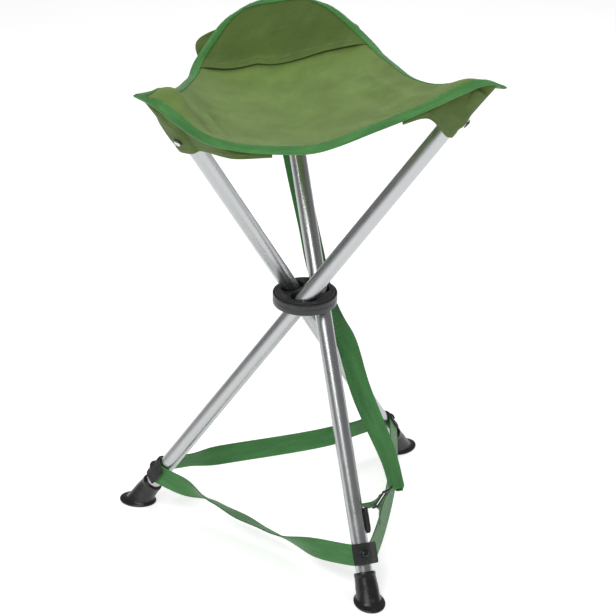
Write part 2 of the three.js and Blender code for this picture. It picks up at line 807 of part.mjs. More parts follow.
const RETURN_START = vec(79, -115, 89);
const ADJUSTER_HALF = 9;
const ADJUSTER_REACH = 23.5;
const tabMouth = onLeg("front", TAB_NEAR + TAB_THICK / 2, 0, TAB_TOP_S);
const returnDirection = tabMouth.clone().sub(RETURN_START).normalize();
const adjusterAt = RETURN_START.clone().addScaledVector(returnDirection, ADJUSTER_REACH);
const alongReturn = (distance) => adjusterAt.clone().addScaledVector(returnDirection, distance);
const across = foldWidth.clone().addScaledVector(returnDirection, -foldWidth.dot(returnDirection));
across.normalize();
const strapNormal = returnDirection.clone().cross(across);
const returnRoute = [
  RETURN_START,
  alongReturn(-ADJUSTER_HALF - 6),
  alongReturn(-ADJUSTER_HALF - 1),
];
addMesh(group, "strap_return", webbing(returnRoute, [[0, foldWidth]], 6), WEB_GREEN);
const anchorRoute = [
  alongReturn(ADJUSTER_HALF + 1),
  alongReturn(ADJUSTER_HALF + 5),
  adjusterAt.clone().lerp(tabMouth, 0.75).add(vec(1, 0, 3)),
  tabMouth.clone().add(vec(2.5, 1, 5)),
];
// The tab's width lies across the front leg.
const tabWidth = vec(0, -1, 0).transformDirection(legFrames.front.matrixWorld);
const anchorWidths = [[0, foldWidth], [1, tabWidth]];
addMesh(group, "strap_anchor", webbing(anchorRoute, anchorWidths, 8), WEB_GREEN);

// The free tail comes back over the adjuster and hangs down beside the anchor, edge first.
const TAIL_REACH = [
  { along: 3, away: 3.5, down: 0 },
  { along: 10, away: 6.5, down: 1 },
  { along: 14, away: 9, down: 7 },
  { along: 15, away: 10, down: 17 },
];
const tailRoute = TAIL_REACH.map(({ along, away, down }) =>
  alongReturn(along).addScaledVector(strapNormal, -away).add(vec(0, 0, -down)),
);
const tailWidths = [[0, foldWidth], [0.7, vec(-0.3, -0.95, 0.1)]];
addMesh(group, "strap_tail", webbing(tailRoute, tailWidths, 8), WEB_GREEN);

// The three-bar adjuster: a plate with two slots, lying in the plane of the return strap.
const ADJUSTER_WIDE = WEB_WIDTH + 8;
const ADJUSTER_THICK = 2.4;
const ADJUSTER_SLOT = 4;
const ADJUSTER_BAR = 4.2;

function adjuster() {
  const bar = new THREE.CylinderGeometry(2, 2, ADJUSTER_WIDE, 8).translate(ADJUSTER_HALF - 2, 0, 0);
  const plate = new THREE.BoxGeometry(2 * ADJUSTER_HALF - 4, ADJUSTER_WIDE, ADJUSTER_THICK);
  const slots = [-1, 1].map((side) => {
    const opening = new THREE.BoxGeometry(ADJUSTER_SLOT, WEB_WIDTH + 1.6, 2 * ADJUSTER_THICK);
    return opening.translate(side * ADJUSTER_BAR, 0, 0);
  });
  const rounded = toSolid(plate).add(toSolid(bar));
  const whole = rounded.add(toSolid(bar.clone().translate(4 - 2 * ADJUSTER_HALF, 0, 0)));
  const geometry = cut(fromSolid(whole), slots);
  geometry.applyMatrix4(new THREE.Matrix4().makeBasis(returnDirection, across, strapNormal));
  return geometry.translate(adjusterAt.x, adjusterAt.y, adjusterAt.z);
}
addMesh(group, "strap_adjuster", outward(adjuster()), BLACK_PLASTIC);

// The tab lies on the side of the front leg, with a rounded low end.
function tab() {
  const outline = new THREE.Shape();
  outline.moveTo(-TAB_HALF, TAB_TOP_S);
  outline.absarc(0, TAB_LOW_S + TAB_HALF, TAB_HALF, Math.PI, 2 * Math.PI, false);
  outline.lineTo(TAB_HALF, TAB_TOP_S);
  const plate = new THREE.ExtrudeGeometry(outline, {
    depth: TAB_THICK,
    bevelEnabled: false,
    curveSegments: 10,
  });
  const turn = new THREE.Matrix4().makeBasis(vec(0, 1, 0), vec(0, 0, 1), vec(1, 0, 0));
  return plate.applyMatrix4(turn).translate(TAB_NEAR, 0, 0);
}
addMesh(legFrames.front, "strap_tab", outward(tab()), BLACK_FABRIC);

// ---------------------------------------------------------------- origin
// The middle of the bounding box, on the floor, to the nearest 0.1 mm.
group.updateMatrixWorld(true);
const box = new THREE.Box3().setFromObject(group, true);
const tenth = (value) => Math.round(value * 10) / 10;
group.position.set(-tenth((box.min.x + box.max.x) / 2), -tenth((box.min.y + box.max.y) / 2), 0);

export default group;
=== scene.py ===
import math

import bpy
import numpy as np
from mathutils import Matrix, Vector


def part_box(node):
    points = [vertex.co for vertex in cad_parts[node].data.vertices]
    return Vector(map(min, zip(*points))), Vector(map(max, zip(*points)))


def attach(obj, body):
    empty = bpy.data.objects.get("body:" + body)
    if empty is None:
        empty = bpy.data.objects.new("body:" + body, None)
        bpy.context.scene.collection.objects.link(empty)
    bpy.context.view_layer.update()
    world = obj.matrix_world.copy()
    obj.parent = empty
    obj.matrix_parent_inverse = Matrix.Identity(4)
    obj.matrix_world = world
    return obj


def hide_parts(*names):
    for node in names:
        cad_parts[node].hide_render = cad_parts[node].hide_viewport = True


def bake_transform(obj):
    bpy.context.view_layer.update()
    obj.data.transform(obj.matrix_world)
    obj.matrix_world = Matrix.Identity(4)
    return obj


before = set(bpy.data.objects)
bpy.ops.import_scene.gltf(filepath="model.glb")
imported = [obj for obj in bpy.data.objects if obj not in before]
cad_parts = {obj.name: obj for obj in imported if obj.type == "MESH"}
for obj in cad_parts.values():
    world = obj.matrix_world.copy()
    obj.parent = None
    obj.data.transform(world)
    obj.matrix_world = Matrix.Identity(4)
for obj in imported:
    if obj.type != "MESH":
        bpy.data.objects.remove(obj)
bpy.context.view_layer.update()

# ------------------------------------------------------------------ layout
# Points are worked out in millimetres about the hub axis, with the floor at zero, as in the CAD
# source, and turned into metres in the row frame when a mesh is made.
hub_low, hub_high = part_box("hub_base")
HUB_AXIS = np.array([(hub_low.x + hub_high.x) / 2, (hub_low.y + hub_high.y) / 2, 0.0])
UP = np.array([0.0, 0.0, 1.0])

TUBE_R = 10.0
TUBE_WALL = 1.2
LEG_TILT = math.radians(34.385)
LEG_OFFSET = 18.64
HUB_HEIGHT = 302.6
HUB_R = 38.3
HUB_HALF = 7.9
LEG_TOP = 344.0
LEG_LOW = HUB_HEIGHT / math.cos(LEG_TILT)
WEB_WIDTH = 25.0
WEB_THICK = 1.5
PATCH_S = -310.0
RIVET_S = 307.0
SEAT_TURN = math.radians(-5.4)
LEGS = {"front": 0.0, "right": 120.0, "left": 240.0}
LEG_BODY = {name: name + "_leg" for name in LEGS}


def row(points):
    return np.asarray(points, float) / 1000 + HUB_AXIS


def unit(v):
    v = np.asarray(v, float)
    return v / np.linalg.norm(v, axis=-1, keepdims=True)


def smooth(x, low, high):
    t = np.clip((np.asarray(x, float) - low) / (high - low), 0, 1)
    return t * t * (3 - 2 * t)


def run_along(points):
    """Distance along a line of points, from 0 at its start."""
    return np.concatenate([[0], np.cumsum(np.linalg.norm(np.diff(points, axis=0), axis=1))])


class Leg:
    """A leg's own frame at the hub: z up the tube, x the pivot axis, -y its upper side."""

    def __init__(self, turn):
        a = math.radians(turn)
        c, s = math.cos(a), math.sin(a)
        ct, st = math.cos(LEG_TILT), math.sin(LEG_TILT)
        self.origin = np.array([LEG_OFFSET * c, LEG_OFFSET * s, HUB_HEIGHT])
        self.x = np.array([c, s, 0.0])
        self.y = np.array([-s * ct, c * ct, -st])
        self.z = np.array([-s * st, c * st, ct])

    def at(self, x, y, s):
        x, y, s = (np.asarray(k, float)[..., None] for k in (x, y, s))
        return self.origin + x * self.x + y * self.y + s * self.z

    def around(self, radius, degrees, s):
        a = np.radians(degrees)
        return self.at(radius * np.cos(a), radius * np.sin(a), s)


leg = {name: Leg(turn) for name, turn in LEGS.items()}


class Line:
    """A smooth centripetal curve through points, read by its share of arc length."""

    def __init__(self, points, per=60):
        p = [np.array(q, float) for q in points]
        out = []
        for i in range(len(p) - 1):
            before = p[i - 1] if i else 2 * p[0] - p[1]
            after = p[i + 2] if i + 2 < len(p) else 2 * p[-1] - p[-2]
            a, b = p[i], p[i + 1]
            d0, d1, d2 = (
                np.linalg.norm(n - m) ** 0.5 for m, n in ((before, a), (a, b), (b, after))
            )
            t1 = ((a - before) / d0 - (b - before) / (d0 + d1) + (b - a) / d1) * d1
            t2 = ((b - a) / d1 - (after - a) / (d1 + d2) + (after - b) / d2) * d1
            t = np.linspace(0, 1, per, endpoint=False)[:, None]
            out.append(
                a + t1 * t + (3 * (b - a) - 2 * t1 - t2) * t**2 + (2 * (a - b) + t1 + t2) * t**3
            )
        out.append(p[-1][None])
        self.samples = np.vstack(out)
        self.lengths = run_along(self.samples)
        self.length = self.lengths[-1]

    def at(self, share):
        s = np.clip(np.asarray(share, float), 0, 1) * self.length
        return np.stack([np.interp(s, self.lengths, self.samples[:, k]) for k in range(3)], -1)


def on_seat(p):
    c, s = math.cos(SEAT_TURN), math.sin(SEAT_TURN)
    p = np.asarray(p, float)
    return np.stack([p[..., 0] * c - p[..., 1] * s, p[..., 0] * s + p[..., 1] * c, p[..., 2]], -1)


# ------------------------------------------------------------------ camera
# The camera looks at the hub's middle from this azimuth, elevation and distance, with a slight
# roll.
CAMERA_AZIMUTH = math.radians(-17.27)
CAMERA_ELEVATION = math.radians(26.607)
CAMERA_ROLL = math.radians(0.694)
CAMERA_DISTANCE = 2607.0
SENSOR = 36.0
LENS = 128.94
SHIFT = (0.0049, -0.0199)

ca, sa = math.cos(CAMERA_AZIMUTH), math.sin(CAMERA_AZIMUTH)
ce, se = math.cos(CAMERA_ELEVATION), math.sin(CAMERA_ELEVATION)
back = np.array([sa * ce, -ca * ce, se])
side = unit(np.cross(-back, UP))
above = np.cross(side, -back)
cr, sr = math.cos(CAMERA_ROLL), math.sin(CAMERA_ROLL)
side, above = cr * side + sr * above, cr * above - sr * side
place = row(back * CAMERA_DISTANCE + HUB_HEIGHT * UP)
camera_data = bpy.data.cameras.new("camera")
camera_data.sensor_width = SENSOR
camera_data.lens = LENS
camera_data.shift_x, camera_data.shift_y = SHIFT
camera_data.clip_end = 20
camera = bpy.data.objects.new("camera", camera_data)
bpy.context.scene.collection.objects.link(camera)
camera.matrix_world = Matrix(
    [[side[i], above[i], back[i], place[i]] for i in range(3)] + [[0, 0, 0, 1]]
)
bpy.context.scene.camera = camera

# ------------------------------------------------------------------ mesh tools
CLOTH_UV = "cloth"


def piece(name, points, faces, look, body=None, stands_for=(), slot=None, uv=None, crease=35):
    """A mesh object from points in mm; uv is one pair per point, in mm along the cloth."""
    mesh = bpy.data.meshes.new(name)
    mesh.from_pydata(row(points).tolist(), [], faces)
    mesh.validate()
    mesh.polygons.foreach_set("use_smooth", [True] * len(mesh.polygons))
    mesh.set_sharp_from_angle(angle=math.radians(crease))
    if uv is not None:
        layer = mesh.uv_layers.new(name=CLOTH_UV)
        index = np.zeros(len(mesh.loops), np.int64)
        mesh.loops.foreach_get("vertex_index", index)
        layer.data.foreach_set("uv", np.asarray(uv, np.float32)[index].ravel())
    mesh.materials.append(look)
    obj = bpy.data.objects.new(name, mesh)
    bpy.context.scene.collection.objects.link(obj)
    if body:
        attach(obj, body)
    if stands_for:
        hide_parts(*([stands_for] if isinstance(stands_for, str) else stands_for))
    return obj


def quads(nu, nv, start=0, flip=False, wrap_v=False):
    """Faces of an nu by nv grid of points, numbered row by row."""
    out = []
    for i in range(nu - 1):
        for j in range(nv if wrap_v else nv - 1):
            k = (j + 1) % nv
            a, b = start + i * nv + j, start + (i + 1) * nv + j
            c, d = start + (i + 1) * nv + k, start + i * nv + k
            out.append((a, d, c, b) if flip else (a, b, c, d))
    return out


def grid_normals(p):
    du = np.gradient(p, axis=0)
    dv = np.gradient(p, axis=1)
    return unit(np.cross(du, dv))


def grid_runs(p):
    """Distances over a grid of points, along its first and along its second direction."""
    first = np.cumsum(np.linalg.norm(np.diff(p, axis=0), axis=-1), axis=0)
    second = np.cumsum(np.linalg.norm(np.diff(p, axis=1), axis=-1), axis=1)
    first = np.vstack([np.zeros((1, p.shape[1])), first])
    second = np.hstack([np.zeros((p.shape[0], 1)), second])
    return first, second


def shell(p, n, thick):
    """Points and faces of a sheet about a grid, closed on its four sides."""
    nu, nv = p.shape[:2]
    top = (p + n * thick / 2).reshape(-1, 3)
    low = (p - n * thick / 2).reshape(-1, 3)
    count = nu * nv
    faces = quads(nu, nv) + quads(nu, nv, count, flip=True)
    first_row, last_row = range(nv), range((nu - 1) * nv, nu * nv)
    first_col, last_col = range(0, nu * nv, nv), range(nv - 1, nu * nv, nv)
    for side, turn in ((first_row, False), (last_row, True), (first_col, True), (last_col, False)):
        for s, t in zip(side[:-1], side[1:]):
            quad = (s, t, t + count, s + count)
            faces.append(quad if turn else quad[::-1])
    return np.vstack([top, low]), faces


def sweep(path, across, section):
    """A closed section (x along across, y along the normal) carried along a path. Returns points,
    faces and uv in mm (around the section, along the path)."""
    path = np.asarray(path, float)
    tangent = unit(np.gradient(path, axis=0))
    across = np.broadcast_to(np.asarray(across, float), path.shape)
    across = unit(across - (across * tangent).sum(-1, keepdims=True) * tangent)
    normal = np.cross(tangent, across)
    section = np.asarray(section, float)
    if section.ndim == 2:
        section = np.broadcast_to(section, (len(path), *section.shape))
    p = (
        path[:, None]
        + section[:, :, 0, None] * across[:, None]
        + section[:, :, 1, None] * normal[:, None]
    )
    n, m = p.shape[:2]
    faces = quads(n, m, flip=True, wrap_v=True)
    points = p.reshape(-1, 3)
    along = run_along(path)
    uv = np.stack([section[:, :, 0], np.broadcast_to(along[:, None], (n, m))], -1).reshape(-1, 2)
    faces.append(tuple(range(m)))
    faces.append(tuple((n - 1) * m + j for j in range(m))[::-1])
    return points, faces, uv


def band_section(width, thick, edge=1.2, steps=10):
    """A woven strap's section: flat, with round edges a little thicker than its middle."""
    half = width / 2
    middle = np.linspace(-half + 2 * edge, half - 2 * edge, steps)
    xs = np.concatenate([[-half + 0.25, -half + edge], middle, [half - edge, half - 0.25]])
    rise = thick / 2 * (1 + 0.12 * np.exp(-(((np.abs(xs) - (half - edge)) / edge) ** 2)))
    rise[0] = rise[-1] = thick * 0.33
    top = np.stack([xs, rise], -1)
    low = np.stack([xs[::-1], -rise[::-1]], -1)
    return np.vstack([top, [[half, 0.0]], low, [[-half, 0.0]]])


def lathe(profile, origin, x, y, z, sides=64):
    """A body turned about z from (radius, height) pairs; a radius of 0 closes it."""
    x, y, z = (np.asarray(k, float) for k in (x, y, z))
    angles = np.linspace(0, 2 * math.pi, sides, endpoint=False)
    ring = np.cos(angles)[:, None] * x + np.sin(angles)[:, None] * y
    points, faces, rings = [], [], []
    for r, h in profile:
        if r < 1e-6:
            rings.append([len(points)])
            points.append(origin + h * z)
        else:
            rings.append(list(range(len(points), len(points) + sides)))
            points.extend(origin + r * ring + h * z)
    loop = rings if profile[0] != profile[-1] else rings[:-1] + [rings[0]]
    for low, high in zip(loop[:-1], loop[1:]):
        for j in range(sides):
            k = (j + 1) % sides
            if len(low) == 1:
                faces.append((low[0], high[k], high[j]))
            elif len(high) == 1:
                faces.append((low[j], low[k], high[0]))
            else:
                faces.append((low[j], low[k], high[k], high[j]))
    return np.array(points), faces


def join(parts):
    """Several (points, faces, uv) as one."""
    points, faces, uvs, start = [], [], [], 0
    for p, f, uv in parts:
        points.append(p)
        faces.extend(tuple(i + start for i in face) for face in f)
        uvs.append(uv)
        start += len(p)
    return np.vstack(points), faces, np.vstack(uvs)


def stitches(line, normal, long=2.6, pitch=3.6, radius=0.28, lift=0.18):
    """A row of thread stitches along points in mm, raised on the normal."""
    line = np.asarray(line, float)
    along = run_along(line)
    starts = np.arange(pitch / 2, along[-1] - long, pitch)
    read = lambda values, s: np.stack([np.interp(s, along, values[:, k]) for k in range(3)], -1)
    normal = np.broadcast_to(np.asarray(normal, float), line.shape)
    parts = []
    for s in starts:
        a, b = read(line, s), read(line, s + long)
        t = unit(b - a)
        n = unit(read(normal, s + long / 2))
        w = np.cross(t, n)
        ring = [(math.cos(q), math.sin(q)) for q in np.linspace(0, 2 * math.pi, 6, endpoint=False)]
        points = [a - n * radius]
        for share, size in ((0.16, 0.8), (0.5, 1.0), (0.84, 0.8)):
            centre = a + (b - a) * share + n * (lift if share == 0.5 else lift * 0.6)
            points.extend(centre + radius * size * (c * w + q * n) for c, q in ring)
        points.append(b - n * radius)
        last = len(points) - 1
        faces = [(0, 1 + (j + 1) % 6, 1 + j) for j in range(6)]
        for r in range(2):
            for j in range(6):
                k = (j + 1) % 6
                faces.append((1 + r * 6 + j, 1 + r * 6 + k, 7 + r * 6 + k, 7 + r * 6 + j))
        faces += [(13 + j, 13 + (j + 1) % 6, last) for j in range(6)]
        uv = np.tile([[s, 0.0]], (len(points), 1))
        parts.append((np.array(points), faces, uv))
    return join(parts)


def hem_stitches(p, n, down, offset, lift):
    """Stitches in a row across a cloth grid, offset in mm from its hem and raised by lift."""
    nu, nv = down.shape
    picks = np.array([np.interp(offset, down[i], np.arange(nv)) for i in range(nu)])
    low = np.minimum(np.floor(picks).astype(int), nv - 2)
    share = (picks - low)[:, None]
    raised = p + n * lift
    line = raised[np.arange(nu), low] * (1 - share) + raised[np.arange(nu), low + 1] * share
    return stitches(line, n[np.arange(nu), low], 2.4, 3.3, 0.24, 0.14)


# ------------------------------------------------------------------ materials
class Look:
    """A node material: nodes are added by short calls that return their output socket."""

    def __init__(self, name, **sockets):
        self.material = bpy.data.materials.new(name)
        self.material.use_nodes = True
        self.tree = self.material.node_tree
        self.shader = self.tree.nodes["Principled BSDF"]
        for key, value in sockets.items():
            self.shader.inputs[key.replace("_", " ")].default_value = value

    def node(self, kind, inputs=(), out=0, **settings):
        n = self.tree.nodes.new("ShaderNode" + kind)
        for key, value in settings.items():
            setattr(n, key, value)
        for key, value in dict(inputs).items():
            self.put(n.inputs[key], value)
        return n.outputs[out]

    def put(self, socket, value):
        if isinstance(value, bpy.types.NodeSocket):
            self.tree.links.new(value, socket)
        else:
            socket.default_value = value

    def math(self, operation, a, b=0.0, c=0.0):
        return self.node("Math", {0: a, 1: b, 2: c}, operation=operation)

    def cloth_uv(self):
        return self.node("UVMap", uv_map=CLOTH_UV)

    def place(self):
        return self.node("TexCoord", out="Object")

    def split(self, vector):
        n = self.tree.nodes.new("ShaderNodeSeparateXYZ")
        self.put(n.inputs[0], vector)
        return n.outputs[0], n.outputs[1], n.outputs[2]

    def scaled(self, vector, scale):
        return self.node("Mapping", {"Vector": vector, "Scale": scale})

    def noise(self, vector, scale, detail=2.0, rough=0.5):
        return self.node(
            "TexNoise", {"Vector": vector, "Scale": scale, "Detail": detail, "Roughness": rough}
        )

    def ramp(self, value, stops):
        n = self.tree.nodes.new("ShaderNodeValToRGB")
        self.put(n.inputs[0], value)
        elements = n.color_ramp.elements
        while len(elements) < len(stops):
            elements.new(0.5)
        for element, (at, color) in zip(elements, stops):
            element.position = at
            element.color = (*color, 1)
        return n.outputs[0]

    def mix(self, share, a, b, blend="MIX"):
        n = self.tree.nodes.new("ShaderNodeMix")
        n.data_type = "RGBA"
        n.blend_type = blend
        self.put(n.inputs[0], share)
        self.put(n.inputs[6], a)
        self.put(n.inputs[7], b)
        return n.outputs[2]

    def range(self, value, low, high, to_low, to_high):
        return self.node(
            "MapRange",
            {
                "Value": value, "From Min": low, "From Max": high,
                "To Min": to_low, "To Max": to_high,
            },
        )

    def bump(self, height, distance, strength=1.0):
        n = self.node("Bump", {"Height": height, "Distance": distance, "Strength": strength})
        self.put(self.shader.inputs["Normal"], n)
        return n

    def set(self, **sockets):
        for key, value in sockets.items():
            self.put(self.shader.inputs[key.replace("_", " ")], value)
        return self.material


def rgb(r, g, b):
    """An sRGB colour, 0 to 255, as linear numbers with alpha."""
    line = lambda c: c / 12.92 if c <= 0.04045 else ((c + 0.055) / 1.055) ** 2.4
    return (line(r / 255), line(g / 255), line(b / 255), 1.0)


def cloth_look(name, base, light, dark, pitch=0.62):
    """Coated plain-weave polyester: crossing yarns, uneven yarn colour, soft handling marks."""
    k = Look(name, Roughness=0.88, Sheen_Weight=0.12, Sheen_Roughness=0.6)
    k.shader.inputs["Specular IOR Level"].default_value = 0.25
    uv = k.cloth_uv()
    x, y, _ = k.split(uv)
    turn = 2 * math.pi / pitch
    sx = k.math("SINE", k.math("MULTIPLY", x, turn))
    sy = k.math("SINE", k.math("MULTIPLY", y, turn))
    over = k.math("MULTIPLY", sx, sy)
    warp = k.math("ABSOLUTE", k.math("SINE", k.math("MULTIPLY", x, turn / 2)))
    weft = k.math("ABSOLUTE", k.math("SINE", k.math("MULTIPLY", y, turn / 2)))
    pick = k.range(over, -0.6, 0.6, 0.0, 1.0)
    warp_part = k.math("MULTIPLY", warp, pick)
    weft_part = k.math("MULTIPLY", weft, k.math("SUBTRACT", 1.0, pick))
    weave = k.math("ADD", warp_part, weft_part)
    yarn_a = k.noise(k.scaled(uv, (1.6, 0.03, 1)), 1.0, 1.0)
    yarn_b = k.noise(k.scaled(uv, (0.03, 1.6, 1)), 1.0, 1.0)
    yarn = k.math("ADD", yarn_a, yarn_b)
    cloud = k.noise(uv, 0.018, 3.0, 0.6)
    fine = k.noise(uv, 0.9, 2.0, 0.7)
    tone = k.math("ADD", k.math("MULTIPLY", cloud, 0.55), k.math("MULTIPLY", yarn, 0.22))
    tone = k.math("ADD", tone, k.math("MULTIPLY", fine, 0.12))
    color = k.ramp(tone, [(0.36, dark[:3]), (0.55, base[:3]), (0.74, light[:3])])
    shade = k.range(weave, 0.0, 1.0, 0.72, 1.06)
    color = k.mix(1.0, color, k.node("CombineColor", {0: shade, 1: shade, 2: shade}), "MULTIPLY")
    rough = k.range(fine, 0.2, 0.8, 0.78, 0.95)
    height = k.math("ADD", k.math("MULTIPLY", weave, 0.7), k.math("MULTIPLY", cloud, 0.8))
    k.bump(height, 0.00022, 0.8)
    return k.set(Base_Color=color, Roughness=rough)


def web_look(name, base, light, dark, column=1.55, rib=1.9):
    """Ribbed strap or tape: short bars across, stepped from column to column, with a sheen."""
    k = Look(name, Roughness=0.6, Sheen_Weight=0.25, Sheen_Roughness=0.4)
    uv = k.cloth_uv()
    x, y, _ = k.split(uv)
    col = k.math("ABSOLUTE", k.math("SINE", k.math("MULTIPLY", x, math.pi / column)))
    odd = k.math("SINE", k.math("MULTIPLY", x, math.pi / column))
    phase = k.math("MULTIPLY", k.math("SIGN", odd), rib / 4)
    bar = k.math("SINE", k.math("MULTIPLY", k.math("ADD", y, phase), 2 * math.pi / rib))
    bar = k.range(bar, -1.0, 1.0, 0.25, 1.0)
    weave = k.math("MULTIPLY", k.math("POWER", col, 0.6), bar)
    cloud = k.noise(k.scaled(uv, (0.12, 0.02, 1)), 1.0, 2.0)
    fine = k.noise(uv, 1.1, 2.0, 0.7)
    tone = k.math("ADD", k.math("MULTIPLY", weave, 0.5), k.math("MULTIPLY", cloud, 0.35))
    tone = k.math("ADD", tone, k.math("MULTIPLY", fine, 0.18))
    color = k.ramp(tone, [(0.2, dark[:3]), (0.5, base[:3]), (0.8, light[:3])])
    k.bump(weave, 0.0003, 0.9)
    return k.set(Base_Color=color, Roughness=k.range(fine, 0.2, 0.8, 0.5, 0.75))


def plastic_look(name, base, rough, worn=(0.09, 0.09, 0.09)):
    """Moulded black plastic or rubber: fine grain, faint scuffs and dust."""
    k = Look(name, Roughness=rough)
    at = k.place()
    grain = k.noise(at, 1800.0, 3.0, 0.6)
    scuff = k.noise(at, 90.0, 5.0, 0.65)
    mark = k.range(scuff, 0.56, 0.72, 0.0, 0.55)
    color = k.mix(mark, base, (*worn, 1))
    k.bump(k.math("ADD", grain, k.math("MULTIPLY", scuff, 1.5)), 0.00012, 0.5)
    return k.set(Base_Color=color, Roughness=k.range(scuff, 0.3, 0.7, rough - 0.08, rough + 0.14))


def metal_look(name, base, rough, marks=0.05):
    """Satin metal with draw marks; the marks run along the cloth map's second direction."""
    k = Look(name, Roughness=rough, Metallic=1.0)
    uv = k.cloth_uv()
    lines = k.noise(k.scaled(uv, (2.2, 0.012, 1)), 1.0, 3.0, 0.7)
    blotch = k.noise(uv, 0.03, 4.0, 0.6)
    pits = k.noise(uv, 2.6, 2.0, 0.8)
    light = k.math("ADD", k.math("MULTIPLY", lines, marks * 1.6), k.math("MULTIPLY", blotch, marks))
    low = tuple(c * (1 - marks) for c in base[:3])
    high = tuple(min(1.0, c * (1 + marks)) for c in base[:3])
    color = k.ramp(k.range(light, 0.0, marks * 2.6, 0.0, 1.0), [(0.2, low), (0.8, high)])
    k.bump(k.math("ADD", lines, k.math("MULTIPLY", pits, 0.4)), 0.00004, 0.5)
    roughness = k.range(blotch, 0.25, 0.75, rough - 0.05, rough + 0.09)
    return k.set(Base_Color=color, Roughness=roughness)


OLIVE = cloth_look("olive_cloth", rgb(104, 129, 62), rgb(122, 148, 78), rgb(86, 108, 46))
# A darker copy of the olive cloth: painted shade, worn by the flap and the pockets.
OLIVE_PAINTED_SHADE = cloth_look("dark_olive_cloth", rgb(84, 106, 48), rgb(98, 122, 58), rgb(68, 88, 36))
TAPE = web_look("binding_tape", rgb(52, 118, 50), rgb(112, 180, 96), rgb(12, 58, 24), 1.1, 1.5)
WEB = web_look("green_webbing", rgb(52, 118, 54), rgb(92, 158, 88), rgb(24, 70, 30))
THREAD = web_look("green_thread", rgb(70, 130, 66), rgb(110, 165, 96), rgb(40, 90, 40), 0.4, 0.5)
OLIVE_THREAD = web_look(
    "olive_thread", rgb(104, 128, 66), rgb(134, 156, 92), rgb(70, 90, 40), 0.4, 0.5
)
BLACK_CLOTH = cloth_look("black_cloth", rgb(38, 40, 38), rgb(56, 58, 56), rgb(24, 25, 24), 0.9)
BLACK_THREAD = web_look("black_thread", rgb(44, 45, 44), rgb(70, 71, 70), rgb(24, 24, 24), 0.4, 0.5)
ALUMINIUM = metal_look("satin_aluminium", rgb(184, 186, 187), 0.27)
STEEL = metal_look("rivet_steel", rgb(214, 214, 212), 0.2, marks=0.1)
BLACK_STEEL = metal_look("blackened_steel", rgb(70, 71, 73), 0.3, marks=0.15)
HUB_TOP = plastic_look("hub_plastic", rgb(42, 42, 44), 0.27)
RUBBER = plastic_look("boot_rubber", rgb(27, 26, 26), 0.26, (0.07, 0.067, 0.064))
BLACK_PLASTIC = plastic_look("black_plastic", rgb(26, 27, 28), 0.34)

# ------------------------------------------------------------------ legs
TUBE_BOTTOM = -(LEG_LOW - 16.0)
TUBE_SIDES = 96


def around_uv(points, origin, x, y, z, radius):
    """Cloth-map coordinates for a turned body: round it and along it, in mm."""
    d = points - origin
    angle = np.arctan2(d @ y, d @ x)
    return np.stack([angle * radius, d @ z], -1)


def turned(name, profile, origin, x, y, z, look, sides=64, **extra):
    points, faces = lathe(profile, origin, x, y, z, sides)
    radius = max(r for r, _ in profile)
    uv = around_uv(points, origin, np.asarray(x), np.asarray(y), np.asarray(z), radius)
    return piece(name, points, faces, look, uv=uv, **extra)


SOLE_X = 18.2
SOLE_Y = 23.2
NECK_R = 13.8
BOOT_TOP = 36.0
BOOT_SIDES = 72


def boot_rings():
    """Rings of the boot, from the floor up the sleeve, over its lip and down inside it."""
    ct, st = math.cos(LEG_TILT), math.sin(LEG_TILT)
    axis, across = np.array([0, st, ct]), np.array([0, ct, -st])
    angles = np.linspace(0, 2 * math.pi, BOOT_SIDES, endpoint=False)
    c, s = np.cos(angles)[:, None], np.sin(angles)[:, None]
    flat = lambda x, y, z: np.hstack([x * c, y * s, np.full_like(c, z)])
    sleeve = lambda r, d: d * axis + r * s * across + np.hstack([r * c, 0 * c, 0 * c])
    root = lambda r, z: np.hstack(
        [r * c, z * math.tan(LEG_TILT) + r / ct * s, np.full_like(c, z)]
    )
    return [
        flat(SOLE_X - 1.2, SOLE_Y - 1.2, 0.0),
        flat(SOLE_X - 0.3, SOLE_Y - 0.3, 0.3),
        flat(SOLE_X, SOLE_Y, 0.9),
        flat(SOLE_X, SOLE_Y, 1.9),
        flat(SOLE_X - 0.3, SOLE_Y - 0.3, 2.4),
        flat(SOLE_X - 1.0, SOLE_Y - 1.0, 2.7),
        root(NECK_R + 2.4, 3.4),
        root(NECK_R + 1.3, 3.9),
        root(NECK_R + 0.5, 4.7),
        root(NECK_R, 5.8),
        sleeve(NECK_R - 0.2, 19.0),
        sleeve(NECK_R - 0.7, 24.0),
        sleeve(NECK_R - 1.1, 29.0),
        sleeve(NECK_R - 1.2, 31.6),
        sleeve(NECK_R - 0.95, 32.2),
        sleeve(NECK_R - 0.9, 34.0),
        sleeve(NECK_R - 1.2, 35.4),
        sleeve(NECK_R - 1.9, BOOT_TOP),
        sleeve(10.6, 35.9),
        sleeve(10.25, 35.0),
        sleeve(10.25, 22.0),
    ]


def boot(name):
    k = leg[name]
    rings = np.array(boot_rings())
    n = len(rings)
    foot = k.at(0, 0, -LEG_LOW)
    turn = math.radians(LEGS[name])
    c, s = math.cos(turn), math.sin(turn)
    spin = np.array([[c, -s, 0], [s, c, 0], [0, 0, 1]])
    points = np.vstack([rings.reshape(-1, 3) @ spin.T + foot, [foot], [foot + 20 * k.z]])
    faces = quads(n, BOOT_SIDES, flip=True, wrap_v=True)
    bottom, inside = n * BOOT_SIDES, n * BOOT_SIDES + 1
    for j in range(BOOT_SIDES):
        j2 = (j + 1) % BOOT_SIDES
        faces.append((bottom, j2, j))
        faces.append((inside, (n - 1) * BOOT_SIDES + j, (n - 1) * BOOT_SIDES + j2))
    piece(
        f"boot_{name}", points, faces, RUBBER, LEG_BODY[name], f"foot_{name}", "boot_rubber",
        crease=50,
    )


